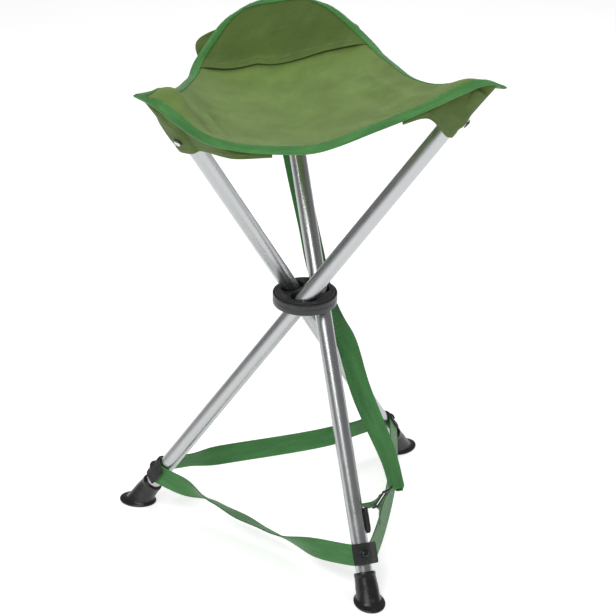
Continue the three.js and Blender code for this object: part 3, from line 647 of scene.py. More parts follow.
for name, k in leg.items():
    inner = TUBE_R - TUBE_WALL
    turned(
        f"tube_{name}",
        [
            (inner, TUBE_BOTTOM), (TUBE_R - 0.2, TUBE_BOTTOM), (TUBE_R, TUBE_BOTTOM + 0.2),
            *[(TUBE_R, s) for s in np.linspace(TUBE_BOTTOM + 30, LEG_TOP - 30, 24)],
            (TUBE_R, LEG_TOP - 0.3), (TUBE_R - 0.3, LEG_TOP), (inner, LEG_TOP),
            (inner, TUBE_BOTTOM),
        ],
        k.origin, k.x, k.y, k.z, ALUMINIUM, TUBE_SIDES,
        body=LEG_BODY[name], stands_for=f"leg_tube_{name}", slot="aluminium_tube",
    )
    turned(
        f"plug_{name}",
        [
            (0, LEG_TOP - 18), (7.6, LEG_TOP - 18), (8.4, LEG_TOP - 15), (8.5, LEG_TOP + 0.3),
            (TUBE_R - 0.2, LEG_TOP + 0.3), (TUBE_R, LEG_TOP + 0.6),
            (TUBE_R - 0.3, LEG_TOP + 1.7), (TUBE_R - 1.3, LEG_TOP + 2.5), (5.2, LEG_TOP + 3.3),
            (4.8, LEG_TOP + 3.0), (0, LEG_TOP + 3.6),
        ],
        k.origin, k.x, k.y, k.z, BLACK_PLASTIC, 48,
        body=LEG_BODY[name], stands_for=f"top_plug_{name}", slot="plug_black",
    )
    boot(name)


# ------------------------------------------------------------------ rivets, washers, patches
RIVET_HEAD_R = 4.0
PATCH_R = TUBE_R + 3.6
PATCH_HALF = 12.5
POCKET_FACE = 14.6


def rivet_and_washer(name, which, k, sign, face, s, washer_r):
    """A domed rivet with a dished centre, over a black washer with a raised rim."""
    out = sign * k.y
    x, z = k.z, out
    y = np.cross(z, x)
    origin = k.at(0, 0, s)
    body = LEG_BODY[name]
    turned(
        f"{which}_washer_{name}_ring",
        [
            (2.2, face), (washer_r - 0.2, face), (washer_r, face + 0.25),
            (washer_r - 0.1, face + 0.7), (washer_r - 0.5, face + 0.95),
            (washer_r - 1.1, face + 0.95), (washer_r - 1.4, face + 0.75), (2.2, face + 0.75),
            (2.2, face),
        ],
        origin, x, y, z, BLACK_PLASTIC, 48,
        body=body, stands_for=f"{which}_washer_{name}", slot="washer_black",
    )
    head = face + 1.2
    turned(
        f"{which}_rivet_{name}_head",
        [
            (0, TUBE_R - 3), (1.9, TUBE_R - 3), (1.9, head - 0.2),
            (RIVET_HEAD_R - 0.2, head - 0.2), (RIVET_HEAD_R, head + 0.1),
            (RIVET_HEAD_R - 0.25, head + 0.65), (RIVET_HEAD_R - 0.9, head + 1.15),
            (2.3, head + 1.5), (1.7, head + 1.45), (1.25, head + 0.95), (0, head + 0.85),
        ],
        origin, x, y, z, BLACK_STEEL if which == "patch" else STEEL, 40,
        body=body, stands_for=f"{which}_rivet_{name}", slot="steel",
    )


def patch(name):
    """The black cloth square that clamps the floor webbing round the tube."""
    k = leg[name]
    arc = PATCH_R * math.radians(46)
    nu, nv = 41, 25
    u = np.linspace(-1, 1, nu)[:, None] * np.ones((1, nv))
    v = np.ones((nu, 1)) * np.linspace(-1, 1, nv)[None, :]
    corner = 1 - 0.035 * (np.abs(u) ** 8) * (np.abs(v) ** 8)
    along = np.where(u < 0, u * (arc + 3.5), u * (arc + 12.0)) * corner
    turn = np.minimum(np.abs(along), arc) / PATCH_R
    rest = np.maximum(np.abs(along) - arc, 0)
    x = np.sign(along) * (PATCH_R * np.sin(turn) + rest * np.cos(turn))
    y = PATCH_R * np.cos(turn) - rest * np.sin(turn)
    ripple = 0.25 * np.sin(v * 5.0 + 1.3 * u) + 0.2 * np.sin(3.1 * u + 0.7)
    p = k.at(x, -(y + ripple * 0.6), PATCH_S + v * PATCH_HALF * corner)
    n = grid_normals(p)
    edge = np.maximum(np.abs(u), np.abs(v))
    thick = 1.4 * np.where(edge > 0.8, 1.12, 1.0)
    points, faces = shell(p, n, thick[..., None])
    uv = np.stack([along, v * PATCH_HALF], -1).reshape(-1, 2)
    piece(
        f"patch_{name}", points, faces, BLACK_CLOTH, LEG_BODY[name],
        f"strap_patch_{name}", "black_fabric", np.vstack([uv, uv]),
    )
    inset = 0.86
    sides = np.linspace(-inset, inset, 30)
    loop = [(s, -inset) for s in sides] + [(inset, s) for s in sides]
    loop += [(-s, inset) for s in sides] + [(-inset, -s) for s in sides]
    i = [int(round((a + 1) / 2 * (nu - 1))) for a, _ in loop]
    j = [int(round((b + 1) / 2 * (nv - 1))) for _, b in loop]
    out = n * np.sign((n * (p - k.at(0, 0, PATCH_S))).sum(-1, keepdims=True))
    line = (p + out * 0.75)[i, j]
    keep = np.concatenate([[True], np.linalg.norm(np.diff(line, axis=0), axis=1) > 0.2])
    points, faces, uv = stitches(line[keep], out[i, j][keep], 1.9, 2.7, 0.22, 0.1)
    piece(f"patch_{name}_stitches", points, faces, BLACK_THREAD, LEG_BODY[name], uv=uv)


for name, k in leg.items():
    patch(name)
    rivet_and_washer(name, "patch", k, -1, PATCH_R + 1.0, PATCH_S, 5.8)
    rivet_and_washer(name, "pocket", k, 1, POCKET_FACE, RIVET_S, 5.6)


# ------------------------------------------------------------------ hub
HUB_CENTRE = np.array([0, 0, HUB_HEIGHT])
AXES = (np.array([1.0, 0, 0]), np.array([0, 1.0, 0]), UP)


def cut(obj, tools):
    """Cuts tool meshes out of obj and applies the result, with softened edges."""
    for tool in tools:
        modifier = obj.modifiers.new("cut", "BOOLEAN")
        modifier.operation = "DIFFERENCE"
        modifier.solver = "EXACT"
        modifier.object = tool
    soft = obj.modifiers.new("soft", "BEVEL")
    soft.width = 0.0004
    soft.segments = 2
    soft.limit_method = "ANGLE"
    soft.angle_limit = math.radians(40)
    bpy.context.view_layer.update()
    made = bpy.data.meshes.new_from_object(obj.evaluated_get(bpy.context.evaluated_depsgraph_get()))
    obj.modifiers.clear()
    obj.data = made
    made.polygons.foreach_set("use_smooth", [True] * len(made.polygons))
    made.set_sharp_from_angle(angle=math.radians(35))
    for tool in tools:
        bpy.data.objects.remove(tool)
    return obj


def block(name, outline, low, high, turn=0.0):
    """A straight prism from an outline in mm, turned about the hub axis; a cutting tool."""
    c, s = math.cos(math.radians(turn)), math.sin(math.radians(turn))
    x, y = np.asarray(outline, float).T
    flat = np.stack([x * c - y * s, x * s + y * c], -1)
    m = len(flat)
    points = np.vstack(
        [np.hstack([flat, np.full((m, 1), HUB_HEIGHT + h)]) for h in (low, high)]
    )
    faces = [tuple(range(m))[::-1], tuple(range(m, 2 * m))]
    faces += [(j, (j + 1) % m, m + (j + 1) % m, m + j) for j in range(m)]
    return piece(name, points, faces, HUB_TOP)


def slot_outline(back_end, front_end, radius=10.6):
    up_arc = np.linspace(0, math.pi, 21)
    low_arc = np.linspace(math.pi, 2 * math.pi, 21)
    top = [(LEG_OFFSET + radius * math.cos(a), front_end + radius * math.sin(a)) for a in up_arc]
    low = [(LEG_OFFSET + radius * math.cos(a), back_end + radius * math.sin(a)) for a in low_arc]
    return top + low


def hub_piece(name, node, profile, back_end, front_end, low, high):
    points, faces = lathe(profile, HUB_CENTRE, *AXES, 128)
    obj = piece(name, points, faces, HUB_TOP, "hub", node, "hub_black")
    tools = [
        block("tool", slot_outline(back_end, front_end), low, high, turn) for turn in LEGS.values()
    ]
    return cut(obj, tools)


RIM_INNER = HUB_R - 2.2
hub_piece(
    "hub_body",
    "hub_base",
    [
        (0, -HUB_HALF), (24, -HUB_HALF), (25, -HUB_HALF + 0.5), (33, -HUB_HALF + 0.5),
        (34, -HUB_HALF), (HUB_R - 1.3, -HUB_HALF), (HUB_R - 0.4, -HUB_HALF + 0.4),
        (HUB_R, -HUB_HALF + 1.3), (HUB_R, -0.6), (HUB_R - 0.35, -0.35), (HUB_R - 0.35, 0.05),
        (HUB_R, 0.3), (HUB_R, 4.9), (HUB_R - 0.3, 5.5), (HUB_R - 0.9, 5.8),
        (RIM_INNER + 0.4, 5.8), (RIM_INNER, 5.4), (RIM_INNER, 0), (0, 0),
    ],
    -7.9, 2.3, -HUB_HALF - 1, 1,
)
hub_piece(
    "hub_plate",
    "hub_cap",
    [
        (0, 0.3), (RIM_INNER - 0.4, 0.3), (RIM_INNER - 0.4, HUB_HALF - 1.5),
        (RIM_INNER - 0.8, HUB_HALF - 0.5), (RIM_INNER - 1.8, HUB_HALF), (33.2, HUB_HALF),
        (32.8, HUB_HALF - 0.35), (32.2, HUB_HALF - 0.35), (31.8, HUB_HALF), (0, HUB_HALF),
    ],
    -2.3, 7.9, -1, HUB_HALF + 1,
)
for name, turn in LEGS.items():
    k = leg[name]
    out = k.x
    turned(
        f"pin_{name}",
        [
            (0, 5.5), (2.1, 5.5), (2.5, 5.9), (2.5, 32.1), (2.1, 32.5), (0, 32.5),
        ],
        HUB_CENTRE, UP, np.cross(out, UP), out, STEEL, 32,
        body="hub", stands_for=f"pivot_pin_{name}", slot="steel",
    )


def screw(index, turn):
    a = math.radians(turn)
    x = np.array([math.cos(a), math.sin(a), 0])
    y = np.cross(UP, x)
    origin = HUB_CENTRE + 31 * x
    profile = [
        (0, -7.0), (1.3, -7.0), (1.6, -7.4), (2.6, -7.5), (3.1, -7.1), (3.2, -6.6), (3.2, -5.6),
        (1.6, -5.4), (1.6, -4.9), (1.42, -4.7),
    ]
    for i in range(12):
        low = -4.4 + i * 0.72
        profile += [(1.6, low), (1.42, low + 0.36)]
    profile += [(1.2, 4.5), (0, 5.2)]
    turned(
        f"screw_{index}", profile, origin, x, y, UP, STEEL, 32,
        body="hub", stands_for=f"hub_screw_{index}", slot="steel",
    )


for index, turn in enumerate(LEGS.values(), 1):
    screw(index, turn + 60)

# ------------------------------------------------------------------ seat outline
TIP_LEFT, TIP_RIGHT = (-213, -123, 618), (199, -114, 595)
ARCH_LEFT, ARCH_RIGHT = (-37, 189, 597), (37, 189, 603)
front_edge = Line(
    on_seat(
        [
            TIP_LEFT, (-189, -116, 600), (-172, -121, 585), (-138, -122, 559), (-100, -120, 545),
            (-50, -118, 537), (-12, -117, 536), (57, -114, 556), (102, -112, 571),
            (147, -112, 589.5), (180, -112, 600), TIP_RIGHT,
        ]
    )
)
left_edge = Line(
    on_seat(
        [
            TIP_LEFT, (-190, -95, 608), (-173, -60, 594), (-160, -25, 581), (-145, 25, 564),
            (-130, 80, 548), (-116, 120, 541), (-104, 150, 547), (-87, 166, 563),
            (-66, 180, 582), ARCH_LEFT,
        ]
    )
)
right_edge = Line(
    on_seat(
        [
            TIP_RIGHT, (180, -80, 585), (163, -55, 573), (148, -25, 562), (133, 25, 554),
            (125, 80, 551), (116, 120, 553), (104, 150, 563), (87, 166, 578), (66, 180, 593),
            ARCH_RIGHT,
        ]
    )
)
arch_edge = Line(
    on_seat([ARCH_LEFT, (-18, 192, 602.5), (0, 192.5, 604.5), (18, 192, 605.5), ARCH_RIGHT])
)

TENTS = [((-171, -99, 0), 26.0, 28.0), ((158, -99, 0), 8.0, 26.0)]
# The cloth rolls over near each edge: height of the roll, its distance in, and how it fades.
ROLL = {"front": 5.5, "left": 2.5, "right": 3.0, "arch": 1.5}
ROLL_IN = 8.5
# Folds at the corners, as lines of (u, v) on the cloth with a height and a half-width in mm.
FOLDS = [
    ([(0.13, 0.262), (0.158, 0.277), (0.188, 0.235), (0.22, 0.173), (0.252, 0.072)], 3.0, 6.0),
    ([(0.125, 0.13), (0.165, 0.15), (0.205, 0.09)], -3.4, 9.0),
    ([(0.19, 0.303), (0.215, 0.277), (0.24, 0.225)], -2.2, 4.5),
    ([(0.145, 0.392), (0.188, 0.42), (0.237, 0.43)], -1.8, 9.0),
    ([(0.922, 0.03), (0.85, 0.045), (0.787, 0.068), (0.692, 0.105)], 3.0, 6.0),
    ([(0.778, 0.423), (0.792, 0.363), (0.793, 0.268), (0.763, 0.16)], -3.4, 9.0),
    ([(0.855, 0.528), (0.872, 0.418), (0.873, 0.313), (0.84, 0.14)], 2.4, 7.0),
]
FOLD_SCALE = np.array([300.0, 320.0])
BACK_BULGE, BACK_SPREAD = 8.0, 40.0
BULGE_WAY = on_seat((0, -0.83, 0.56))


def fold_distance(u, v, line):
    """Distance in mm from places on the cloth to a line of (u, v) points."""
    spot = np.stack([u, v], -1) * FOLD_SCALE
    line = np.asarray(line, float) * FOLD_SCALE
    nearest = np.full(u.shape, np.inf)
    for a, b in zip(line[:-1], line[1:]):
        t = np.clip(((spot - a) @ (b - a)) / ((b - a) @ (b - a)), 0, 1)[..., None]
        nearest = np.minimum(nearest, np.linalg.norm(spot - a - t * (b - a), axis=-1))
    return nearest


def seat_surface(u, v):
    """The sling's middle surface between its four edges: u goes across, v from front to back."""
    u, v = np.broadcast_arrays(np.asarray(u, float), np.asarray(v, float))
    uu, vv = u[..., None], v[..., None]
    p = front_edge.at(u) * (1 - vv) + arch_edge.at(u) * vv
    p = p + left_edge.at(v) * (1 - uu) + right_edge.at(v) * uu
    p = p - front_edge.at(0) * (1 - uu) * (1 - vv) - front_edge.at(1) * uu * (1 - vv)
    p = p - arch_edge.at(0) * (1 - uu) * vv - arch_edge.at(1) * uu * vv
    inner = np.minimum(1, 12 * u * (1 - u)) * np.minimum(1, 12 * v * (1 - v))
    for at, rise, spread in TENTS:
        at = on_seat(at)
        distance = np.hypot(p[..., 0] - at[0], p[..., 1] - at[1])
        p[..., 2] += rise * inner * np.exp(-((distance / spread) ** 2))
    wide = np.linalg.norm(left_edge.at(v) - right_edge.at(v), axis=-1)
    middle = np.exp(-((((u - 0.5) * wide) / BACK_SPREAD) ** 2))
    along = np.sin(math.pi * np.clip((v - 0.66) / 0.34, 0, 1))
    p = p + BULGE_WAY * (BACK_BULGE * middle * along)[..., None]
    deep = 0.5 * (left_edge.length + right_edge.length)
    ends_u, ends_v = np.minimum(1, 10 * u * (1 - u)), np.minimum(1, 10 * v * (1 - v))
    roll = lambda inward: inward / ROLL_IN * np.exp(1 - inward / ROLL_IN)
    p[..., 2] += ROLL["front"] * roll(v * deep) * ends_u
    p[..., 2] += ROLL["arch"] * roll((1 - v) * deep) * ends_u
    p[..., 2] += ROLL["left"] * roll(u * wide) * ends_v
    p[..., 2] += ROLL["right"] * roll((1 - u) * wide) * ends_v
    for line, height, half_width in FOLDS:
        p[..., 2] += height * np.exp(-((fold_distance(u, v, line) / half_width) ** 2))
    return p


NU, NV = 241, 221
SPLIT_V = 0.55
us, vs = np.linspace(0, 1, NU), np.linspace(0, 1, NV)
U, V = np.meshgrid(us, vs, indexing="ij")
SEAT = seat_surface(U, V)
SEAT_N = grid_normals(SEAT)


def fold_sectors(objects):
    """Bakes each piece's transform into its mesh, leaving it where it is."""
    for obj in objects:
        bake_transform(obj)


# The seat cloth, in three parts that meet edge to edge, one for each corner.
across_mm, along_mm = grid_runs(SEAT)
across_mm -= across_mm[NU // 2]
SEAT_UV = np.stack([across_mm, along_mm.mean(0)[None, :] * np.ones((NU, 1))], -1)
SEAT_THICK = 1.2


def seat_part(name, rows, cols):
    p, n, uv = SEAT[rows, cols], SEAT_N[rows, cols], SEAT_UV[rows, cols].reshape(-1, 2)
    points, faces = shell(p, n, SEAT_THICK)
    obj = piece(
        name, points, faces, OLIVE, None, "seat_panel", "olive_cloth", np.vstack([uv, uv])
    )
    fold_sectors([obj])
    return obj


half, split = NU // 2, int(round(SPLIT_V * (NV - 1)))
seat_part("seat_cloth_left", slice(0, half + 1), slice(0, split + 1))
seat_part("seat_cloth_right", slice(half, NU), slice(0, split + 1))
seat_part("seat_cloth_back", slice(0, NU), slice(split, NV))

# ------------------------------------------------------------------ edge tape
FLAP_ROOM = 1.0
TAPE_STITCH_IN = 8.9
# How much of its width the front tape keeps, by its share along the edge.
TAPE_NARROW = (
    [0.0, 0.06, 0.14, 0.32, 0.45, 0.55, 0.75, 0.9, 1.0],
    [0.95, 0.75, 0.72, 0.72, 0.9, 0.95, 0.9, 0.75, 0.85],
)
# Across the tape: distance in from the edge and height above the cloth's middle surface.
TAPE_SECTION = [
    (10.5, 0.75), (10.4, 1.45), (8.0, 1.6), (5.0, 1.6), (2.2, 1.65), (0.6, 1.7), (-0.6, 1.3),
    (-1.1, 0.5), (-1.1, -0.5), (-0.6, -1.3), (0.6, -1.7), (2.2, -1.65), (5.0, -1.6), (8.0, -1.6),
    (10.4, -1.45), (10.5, -0.75), (6.0, -0.75), (0.4, -0.75), (0.4, 0.75), (6.0, 0.75),
]


def edge_point(edge, share, inward, rise):
    """A place near a seat edge: share along it, a distance inward on the cloth, and a height."""
    share, inward = np.broadcast_arrays(np.asarray(share, float), np.asarray(inward, float))
    wide = np.linalg.norm(left_edge.at(share) - right_edge.at(share), axis=-1)
    deep = 0.5 * (left_edge.length + right_edge.length)
    inside = np.maximum(inward, 0)
    if edge == "left":
        u, v = inside / wide, share
    elif edge == "right":
        u, v = 1 - inside / wide, share
    elif edge == "front":
        u, v = share, inside / deep
    else:
        u, v = share, 1 - inside / deep
    step = 0.004
    at = lambda a, b: seat_surface(np.clip(a, 0, 1), np.clip(b, 0, 1))
    p = at(u, v)
    du = at(u + step, v) - at(u - step, v)
    dv = at(u, v + step) - at(u, v - step)
    n = unit(np.cross(du, dv))
    way = {"left": du, "right": -du, "front": dv, "arch": -dv}[edge]
    p = p + unit(way) * np.minimum(inward, 0)[..., None]
    return p + n * np.asarray(rise, float)[..., None], n


def over_flap(edge, share):
    """How far the tape's upper layer is raised, in mm, where it lies over the flap."""
    if edge == "front":
        return 0.0
    return FLAP_ROOM if edge == "arch" else FLAP_ROOM * smooth(share, 0.67, 0.72)


def tape(name, edge, low, high, steps, node):
    share = np.linspace(low, high, steps)[:, None]
    section = np.array(TAPE_SECTION)
    narrow = np.interp(share, *TAPE_NARROW) if edge == "front" else 1.0
    inward = section[None, :, 0] * np.where(section[None, :, 0] > 1, narrow, 1.0)
    inward = np.broadcast_to(inward, (steps, len(section)))
    rise = section[None, :, 1] + over_flap(edge, share) * (section[None, :, 1] > 0.7)
    rise = np.broadcast_to(rise, (steps, len(section)))
    p, _ = edge_point(edge, share * np.ones_like(inward), inward, rise)
    line = p[:, 7]
    along = run_along(line)
    ripple = 0.12 * np.sin(along * 0.83 + 1.0) + 0.1 * np.sin(along * 0.37)
    p[:, :6] += ripple[:, None, None] * UP
    m = len(section)
    around = run_along(section)
    uv = np.stack(
        [np.broadcast_to(around[None], (steps, m)), np.broadcast_to(along[:, None], (steps, m))], -1
    )
    flip = edge in ("left", "arch")
    faces = quads(steps, m, flip=flip, wrap_v=True)
    ends = [tuple(range(m)), tuple((steps - 1) * m + j for j in range(m))]
    faces += [ends[0] if flip else ends[0][::-1], ends[1][::-1] if flip else ends[1]]
    obj = piece(
        name, p.reshape(-1, 3), faces, TAPE, None, node, "binding_tape", uv.reshape(-1, 2), 50
    )
    picks = np.linspace(low, high, int(steps * 1.5))
    height = 1.6 + over_flap(edge, picks)
    kept = np.interp(picks, *TAPE_NARROW) if edge == "front" else 1.0
    spread = np.ones(len(picks))
    q, n = edge_point(edge, picks, TAPE_STITCH_IN * kept * spread, height * spread)
    points, sides, thread_uv = stitches(q, n, 2.5, 3.5, 0.25, 0.16)
    thread = piece(f"{name}_stitches", points, sides, THREAD, uv=thread_uv)
    fold_sectors([obj, thread])
    return obj


tape("tape_front_left", "front", 0.004, 0.5, 110, "binding_front")
tape("tape_front_right", "front", 0.5, 0.996, 110, "binding_front")
tape("tape_left_front", "left", 0.012, SPLIT_V, 110, "binding_left")
tape("tape_left_back", "left", SPLIT_V, 1.0, 90, "binding_left")
tape("tape_right_front", "right", 0.012, SPLIT_V, 110, "binding_right")
tape("tape_right_back", "right", SPLIT_V, 1.0, 90, "binding_right")
tape("tape_arch", "arch", 0.0, 1.0, 50, "binding_arch")

# ------------------------------------------------------------------ half-moon flap
HEM_U = [0.0, 0.06, 0.17, 0.29, 0.37, 0.43, 0.5, 0.62, 0.74, 0.83, 0.92, 1.0]
HEM_V = [0.725, 0.728, 0.738, 0.748, 0.757, 0.748, 0.745, 0.742, 0.744, 0.737, 0.726, 0.712]


# The flap's two rows of stitches, by their distance from its hem in mm.
FLAP_STITCH_ROWS = (2.2, 8.2)


def flap():
    nu, nv = 161, 61
    a, b = np.linspace(0.006, 0.994, nu), np.linspace(0, 1, nv)
    aa, bb = np.meshgrid(a, b, indexing="ij")
    hem = np.interp(aa, HEM_U, HEM_V)
    vv = hem + (0.992 - hem) * bb
    p = seat_surface(aa, vv)
    n = grid_normals(p)
    gap = np.exp(-((bb / 0.12) ** 2))
    wide_mm = np.linalg.norm(left_edge.at(vv) - right_edge.at(vv), axis=-1)
    from_edge = np.minimum(np.minimum(aa, 1 - aa) * wide_mm, (1 - vv) * left_edge.length)
    free = smooth(from_edge, 9.0, 26.0)
    lift = 1.15 + free * (0.7 + 1.4 * gap * (0.7 + 0.3 * np.sin(aa * 9)))
    lift = lift + free * 0.5 * np.sin(aa * 5.0) * bb * (1 - bb)
    p = p + n * lift[..., None]
    n = grid_normals(p)
    across, down = grid_runs(p)
    fold = 1 - smooth(down, 9.0, 10.0)
    fold = fold * free
    thick = 0.7 + 0.9 * fold
    points, faces = shell(p + n * (0.4 * fold)[..., None], n, thick[..., None])
    uv = np.stack([across, down], -1).reshape(-1, 2)
    # The flap is cut from the darker olive copy: painted shade.
    obj = piece(
        "flap", points, faces, OLIVE_PAINTED_SHADE, None, "back_flap", "dark_olive_cloth",
        np.vstack([uv, uv]),
    )
    rows = [hem_stitches(p, n, down, offset, 1.2) for offset in FLAP_STITCH_ROWS]
    points, faces, thread_uv = join(rows)
    thread = piece("flap_stitches", points, faces, OLIVE_THREAD, uv=thread_uv)
    fold_sectors([obj, thread])


flap()

# ------------------------------------------------------------------ pockets
POCKET_R, POCKET_CHEST_R = TUBE_R + 1.8, TUBE_R + 2.9
POCKET_CHEST_V = 0.4
HEM_S, CHEST_S = 285.0, 314.0
HUG = [158, 135, 112, 90, 68, 45, 22]
POCKET_SHARES = [1.0, 0.76, 0.5, 0.28, 0.08]
TOP_IN, TOP_UNDER = 4.5, 2.6
TOP_DROP, END_DROP, HEM_DROP = 2.1, 4.6, 10.0


def rail(before, after):
    """A rail of a pocket, as two runs that meet at the middle of the leg's outer side."""
    first, last = Line(before), Line(after)
    return lambda u: np.where((u < 0.5)[..., None], first.at(2 * u), last.at(2 * u - 1))


def hug_rail(start, k, radius, s, finish):
    hug = [k.around(radius, a, s) for a in HUG]
    return rail([*start, *hug[:4]], [*hug[3:], *finish])


def pocket(name, node, leg_name, hem, chest, top, slack_side=None):
    """A cup of cloth sewn under a seat corner, its hem round the outer side of the leg."""
    k = leg[leg_name]
    nu, nv = 221, 51
    a, b = np.meshgrid(np.linspace(0, 1, nu), np.linspace(0, 1, nv), indexing="ij")
    lower = np.clip(b / POCKET_CHEST_V, 0, 1)[..., None]
    upper = np.clip((b - POCKET_CHEST_V) / (1 - POCKET_CHEST_V), 0, 1)[..., None]
    p = np.where(
        (b < POCKET_CHEST_V)[..., None],
        hem(a) * (1 - lower) + chest(a) * lower,
        chest(a) * (1 - upper) + top(a) * upper,
    )
    blend_rows = np.exp(-(((b - POCKET_CHEST_V) / 0.1) ** 2))[..., None]
    softened = p.copy()
    softened[:, 3:-3] = sum(p[:, 3 + i : nv - 3 + i] for i in range(-3, 4)) / 7
    p = p + (softened - p) * blend_rows
    local = (p - k.origin) @ np.stack([k.x, k.y, k.z], -1)
    radius = np.hypot(local[..., 0], local[..., 1])
    push = np.where(local[..., 2] < LEG_TOP + 7, np.maximum(1, POCKET_R / radius), 1)
    # The cloth is gathered out to the washer round the rivet.
    angle = np.arctan2(local[..., 1], local[..., 0])
    from_rivet = np.hypot(radius * (angle - math.pi / 2), local[..., 2] - RIVET_S)
    gather = np.maximum(POCKET_FACE - 0.5 - radius * push, 0) * np.exp(-((from_rivet / 8) ** 4))
    if slack_side is not None:
        at_angle, amount = slack_side
        loose = np.exp(-(((np.degrees(angle) - at_angle) / 30) ** 2)) * smooth(b, 1.0, 0.55)
        gather = gather + amount * loose
    push = push + gather / radius
    p = k.at(local[..., 0] * push, local[..., 1] * push, local[..., 2])
    n = grid_normals(p)
    away = np.sign((n * (p - k.at(0, 0, HEM_S))).sum(-1).mean())
    n = n * away
    slack = 0.5 * np.sin(a * 21 + 1.1) * np.sin(math.pi * b) + 0.35 * np.sin(a * 47) * np.sin(b * 5)
    p = p + n * slack[..., None]
    across, down = grid_runs(p)
    fold = 1 - smooth(down, 7.0, 8.0)
    thick = 0.8 + 0.7 * fold
    points, faces = shell(p, n, thick[..., None])
    if away < 0:
        faces = [face[::-1] for face in faces]
    uv = np.stack([across, down], -1).reshape(-1, 2)
    body = LEG_BODY[leg_name]
    # The pocket is cut from the darker olive copy: painted shade.
    obj = piece(
        name, points, faces, OLIVE_PAINTED_SHADE, body, node, "dark_olive_cloth", np.vstack([uv, uv])
    )
    points, faces, thread_uv = hem_stitches(p, n, down, 6.0, 0.75)
    thread = piece(f"{name}_stitches", points, faces, OLIVE_THREAD, body, uv=thread_uv)


def along_edge(name, reach, reverse=False):
    """One side of a front pocket: its top line, chest and hem from its reach towards the tip."""
    edge = {"front": front_edge, "left": left_edge, "right": right_edge}[name]
    shares = [1 - reach * share if reverse else reach * share for share in POCKET_SHARES]
    under = lambda i, drop: edge.at(shares[i]) - drop * UP
    close = np.linspace(shares[0], shares[-1], 16)
    return {
        "top": list(edge_point(name, close, TOP_IN, -TOP_UNDER)[0]),
        "chest": [under(0, (TOP_DROP + END_DROP) / 2), under(1, (TOP_DROP + HEM_DROP) / 2)],
        "hem": [under(0, END_DROP), under(1, HEM_DROP)],
    }


def front_pocket(name, node, leg_name, before, after, slack_side=None):
    k = leg[leg_name]
    tip = (before["top"][-1] + after["top"][-1]) / 2
    pocket(
        name, node, leg_name,
        hug_rail(before["hem"], k, POCKET_R, HEM_S, after["hem"][::-1]),
        hug_rail(before["chest"], k, POCKET_CHEST_R, CHEST_S, after["chest"][::-1]),
        rail([*before["top"], tip], [tip, *after["top"][::-1]]),
        slack_side,
    )


front_pocket(
    "pocket_cloth_left", "pocket_left", "right",
    along_edge("front", 0.39), along_edge("left", 0.34), slack_side=(36, 6.5),
)
front_pocket(
    "pocket_cloth_right", "pocket_right", "left",
    along_edge("right", 0.34), along_edge("front", 0.275, reverse=True),
)
back_top = hug_rail(
    on_seat([(-74, 146, 526), (-97, 160, 546), (-99, 177, 562), (-62, 197, 572)]),
    leg["front"], POCKET_R + 4, LEG_TOP - 8,
    on_seat([(62, 197, 576), (99, 177, 570), (97, 160, 554), (74, 146, 534)]),
)
back_hem = hug_rail(
    on_seat([(-72, 146, 516), (-86, 158, 528)]), leg["front"], POCKET_R, HEM_S,
    on_seat([(86, 158, 532), (72, 146, 524)]),
)
back_chest = lambda u: back_hem(u) * (1 - POCKET_CHEST_V) + back_top(u) * POCKET_CHEST_V
pocket("pocket_cloth_back", "pocket_back", "front", back_hem, back_chest, back_top)

# ------------------------------------------------------------------ webbing
BAND = band_section(WEB_WIDTH, WEB_THICK)
WRAP_R = TUBE_R + 1.6
# Angles in degrees at which a span leaves one tube and meets the next.
WRAP_START, WRAP_END = (-84, -65, -45, -25), (-150, -132, -114, -96)


def strap(points, widths, steps):
    """A strap's middle line and its width direction, which turns between the named directions."""
    line = Line(points)
    share = np.linspace(0, 1, steps)
    marks = [mark for mark, _ in widths]
    ways = [np.asarray(way, float) for _, way in widths]
    across = np.broadcast_to(ways[0], (steps, 3)).copy()
    for low, high, before, after in zip(marks, marks[1:], ways, ways[1:]):
        t = smooth(share, low, high)[:, None]
        across = np.where((share >= low)[:, None], before * (1 - t) + after * t, across)
    return line.at(share), across


def span(name, start_leg, end_leg, middle, widths):
    """A floor webbing span, made as two halves, one at each leg."""
    first, last = leg[start_leg], leg[end_leg]
    points = [first.around(WRAP_R, a, PATCH_S) for a in WRAP_START]
    points += [np.array(m, float) for m in middle]
    points += [last.around(WRAP_R, a, PATCH_S) for a in WRAP_END]
    path, across = strap(points, widths(first.z, last.z), 181)
    for part, rows, which in (("a", slice(0, 91), start_leg), ("b", slice(90, 181), end_leg)):
        p, f, uv = sweep(path[rows], across[rows], BAND)
        obj = piece(
            f"web_{name}_{part}", p, f, WEB, None, f"floor_webbing_{name}", "green_webbing", uv, 60
        )
        end = leg[which].at(0, 0, PATCH_S)
        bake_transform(obj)


UPRIGHT, NEARLY_FLAT, FLATTER = (0, 0.25, 0.97), (-0.686, -0.5, 0.53), (-0.76, -0.55, 0.34)
span(
    "back", "right", "left", [(70, 97, 46.5), (-70, 89, 47)],
    lambda first, last: [(0.15, first), (0.28, UPRIGHT), (0.72, UPRIGHT), (0.85, last)],
)
span(
    "left", "left", "front",
    [(-120.5, 15.8, 35.1), (-83.6, -34.7, 28), (-43, -92, 25)],
    lambda first, last: [
        (0.12, first), (0.3, NEARLY_FLAT), (0.42, FLATTER), (0.54, NEARLY_FLAT), (0.86, last),
    ],
)
span(
    "right", "front", "right", [(72, -98, 38), (121, 8, 40)],
    lambda first, last: [(0.2, first), (0.8, last)],
)

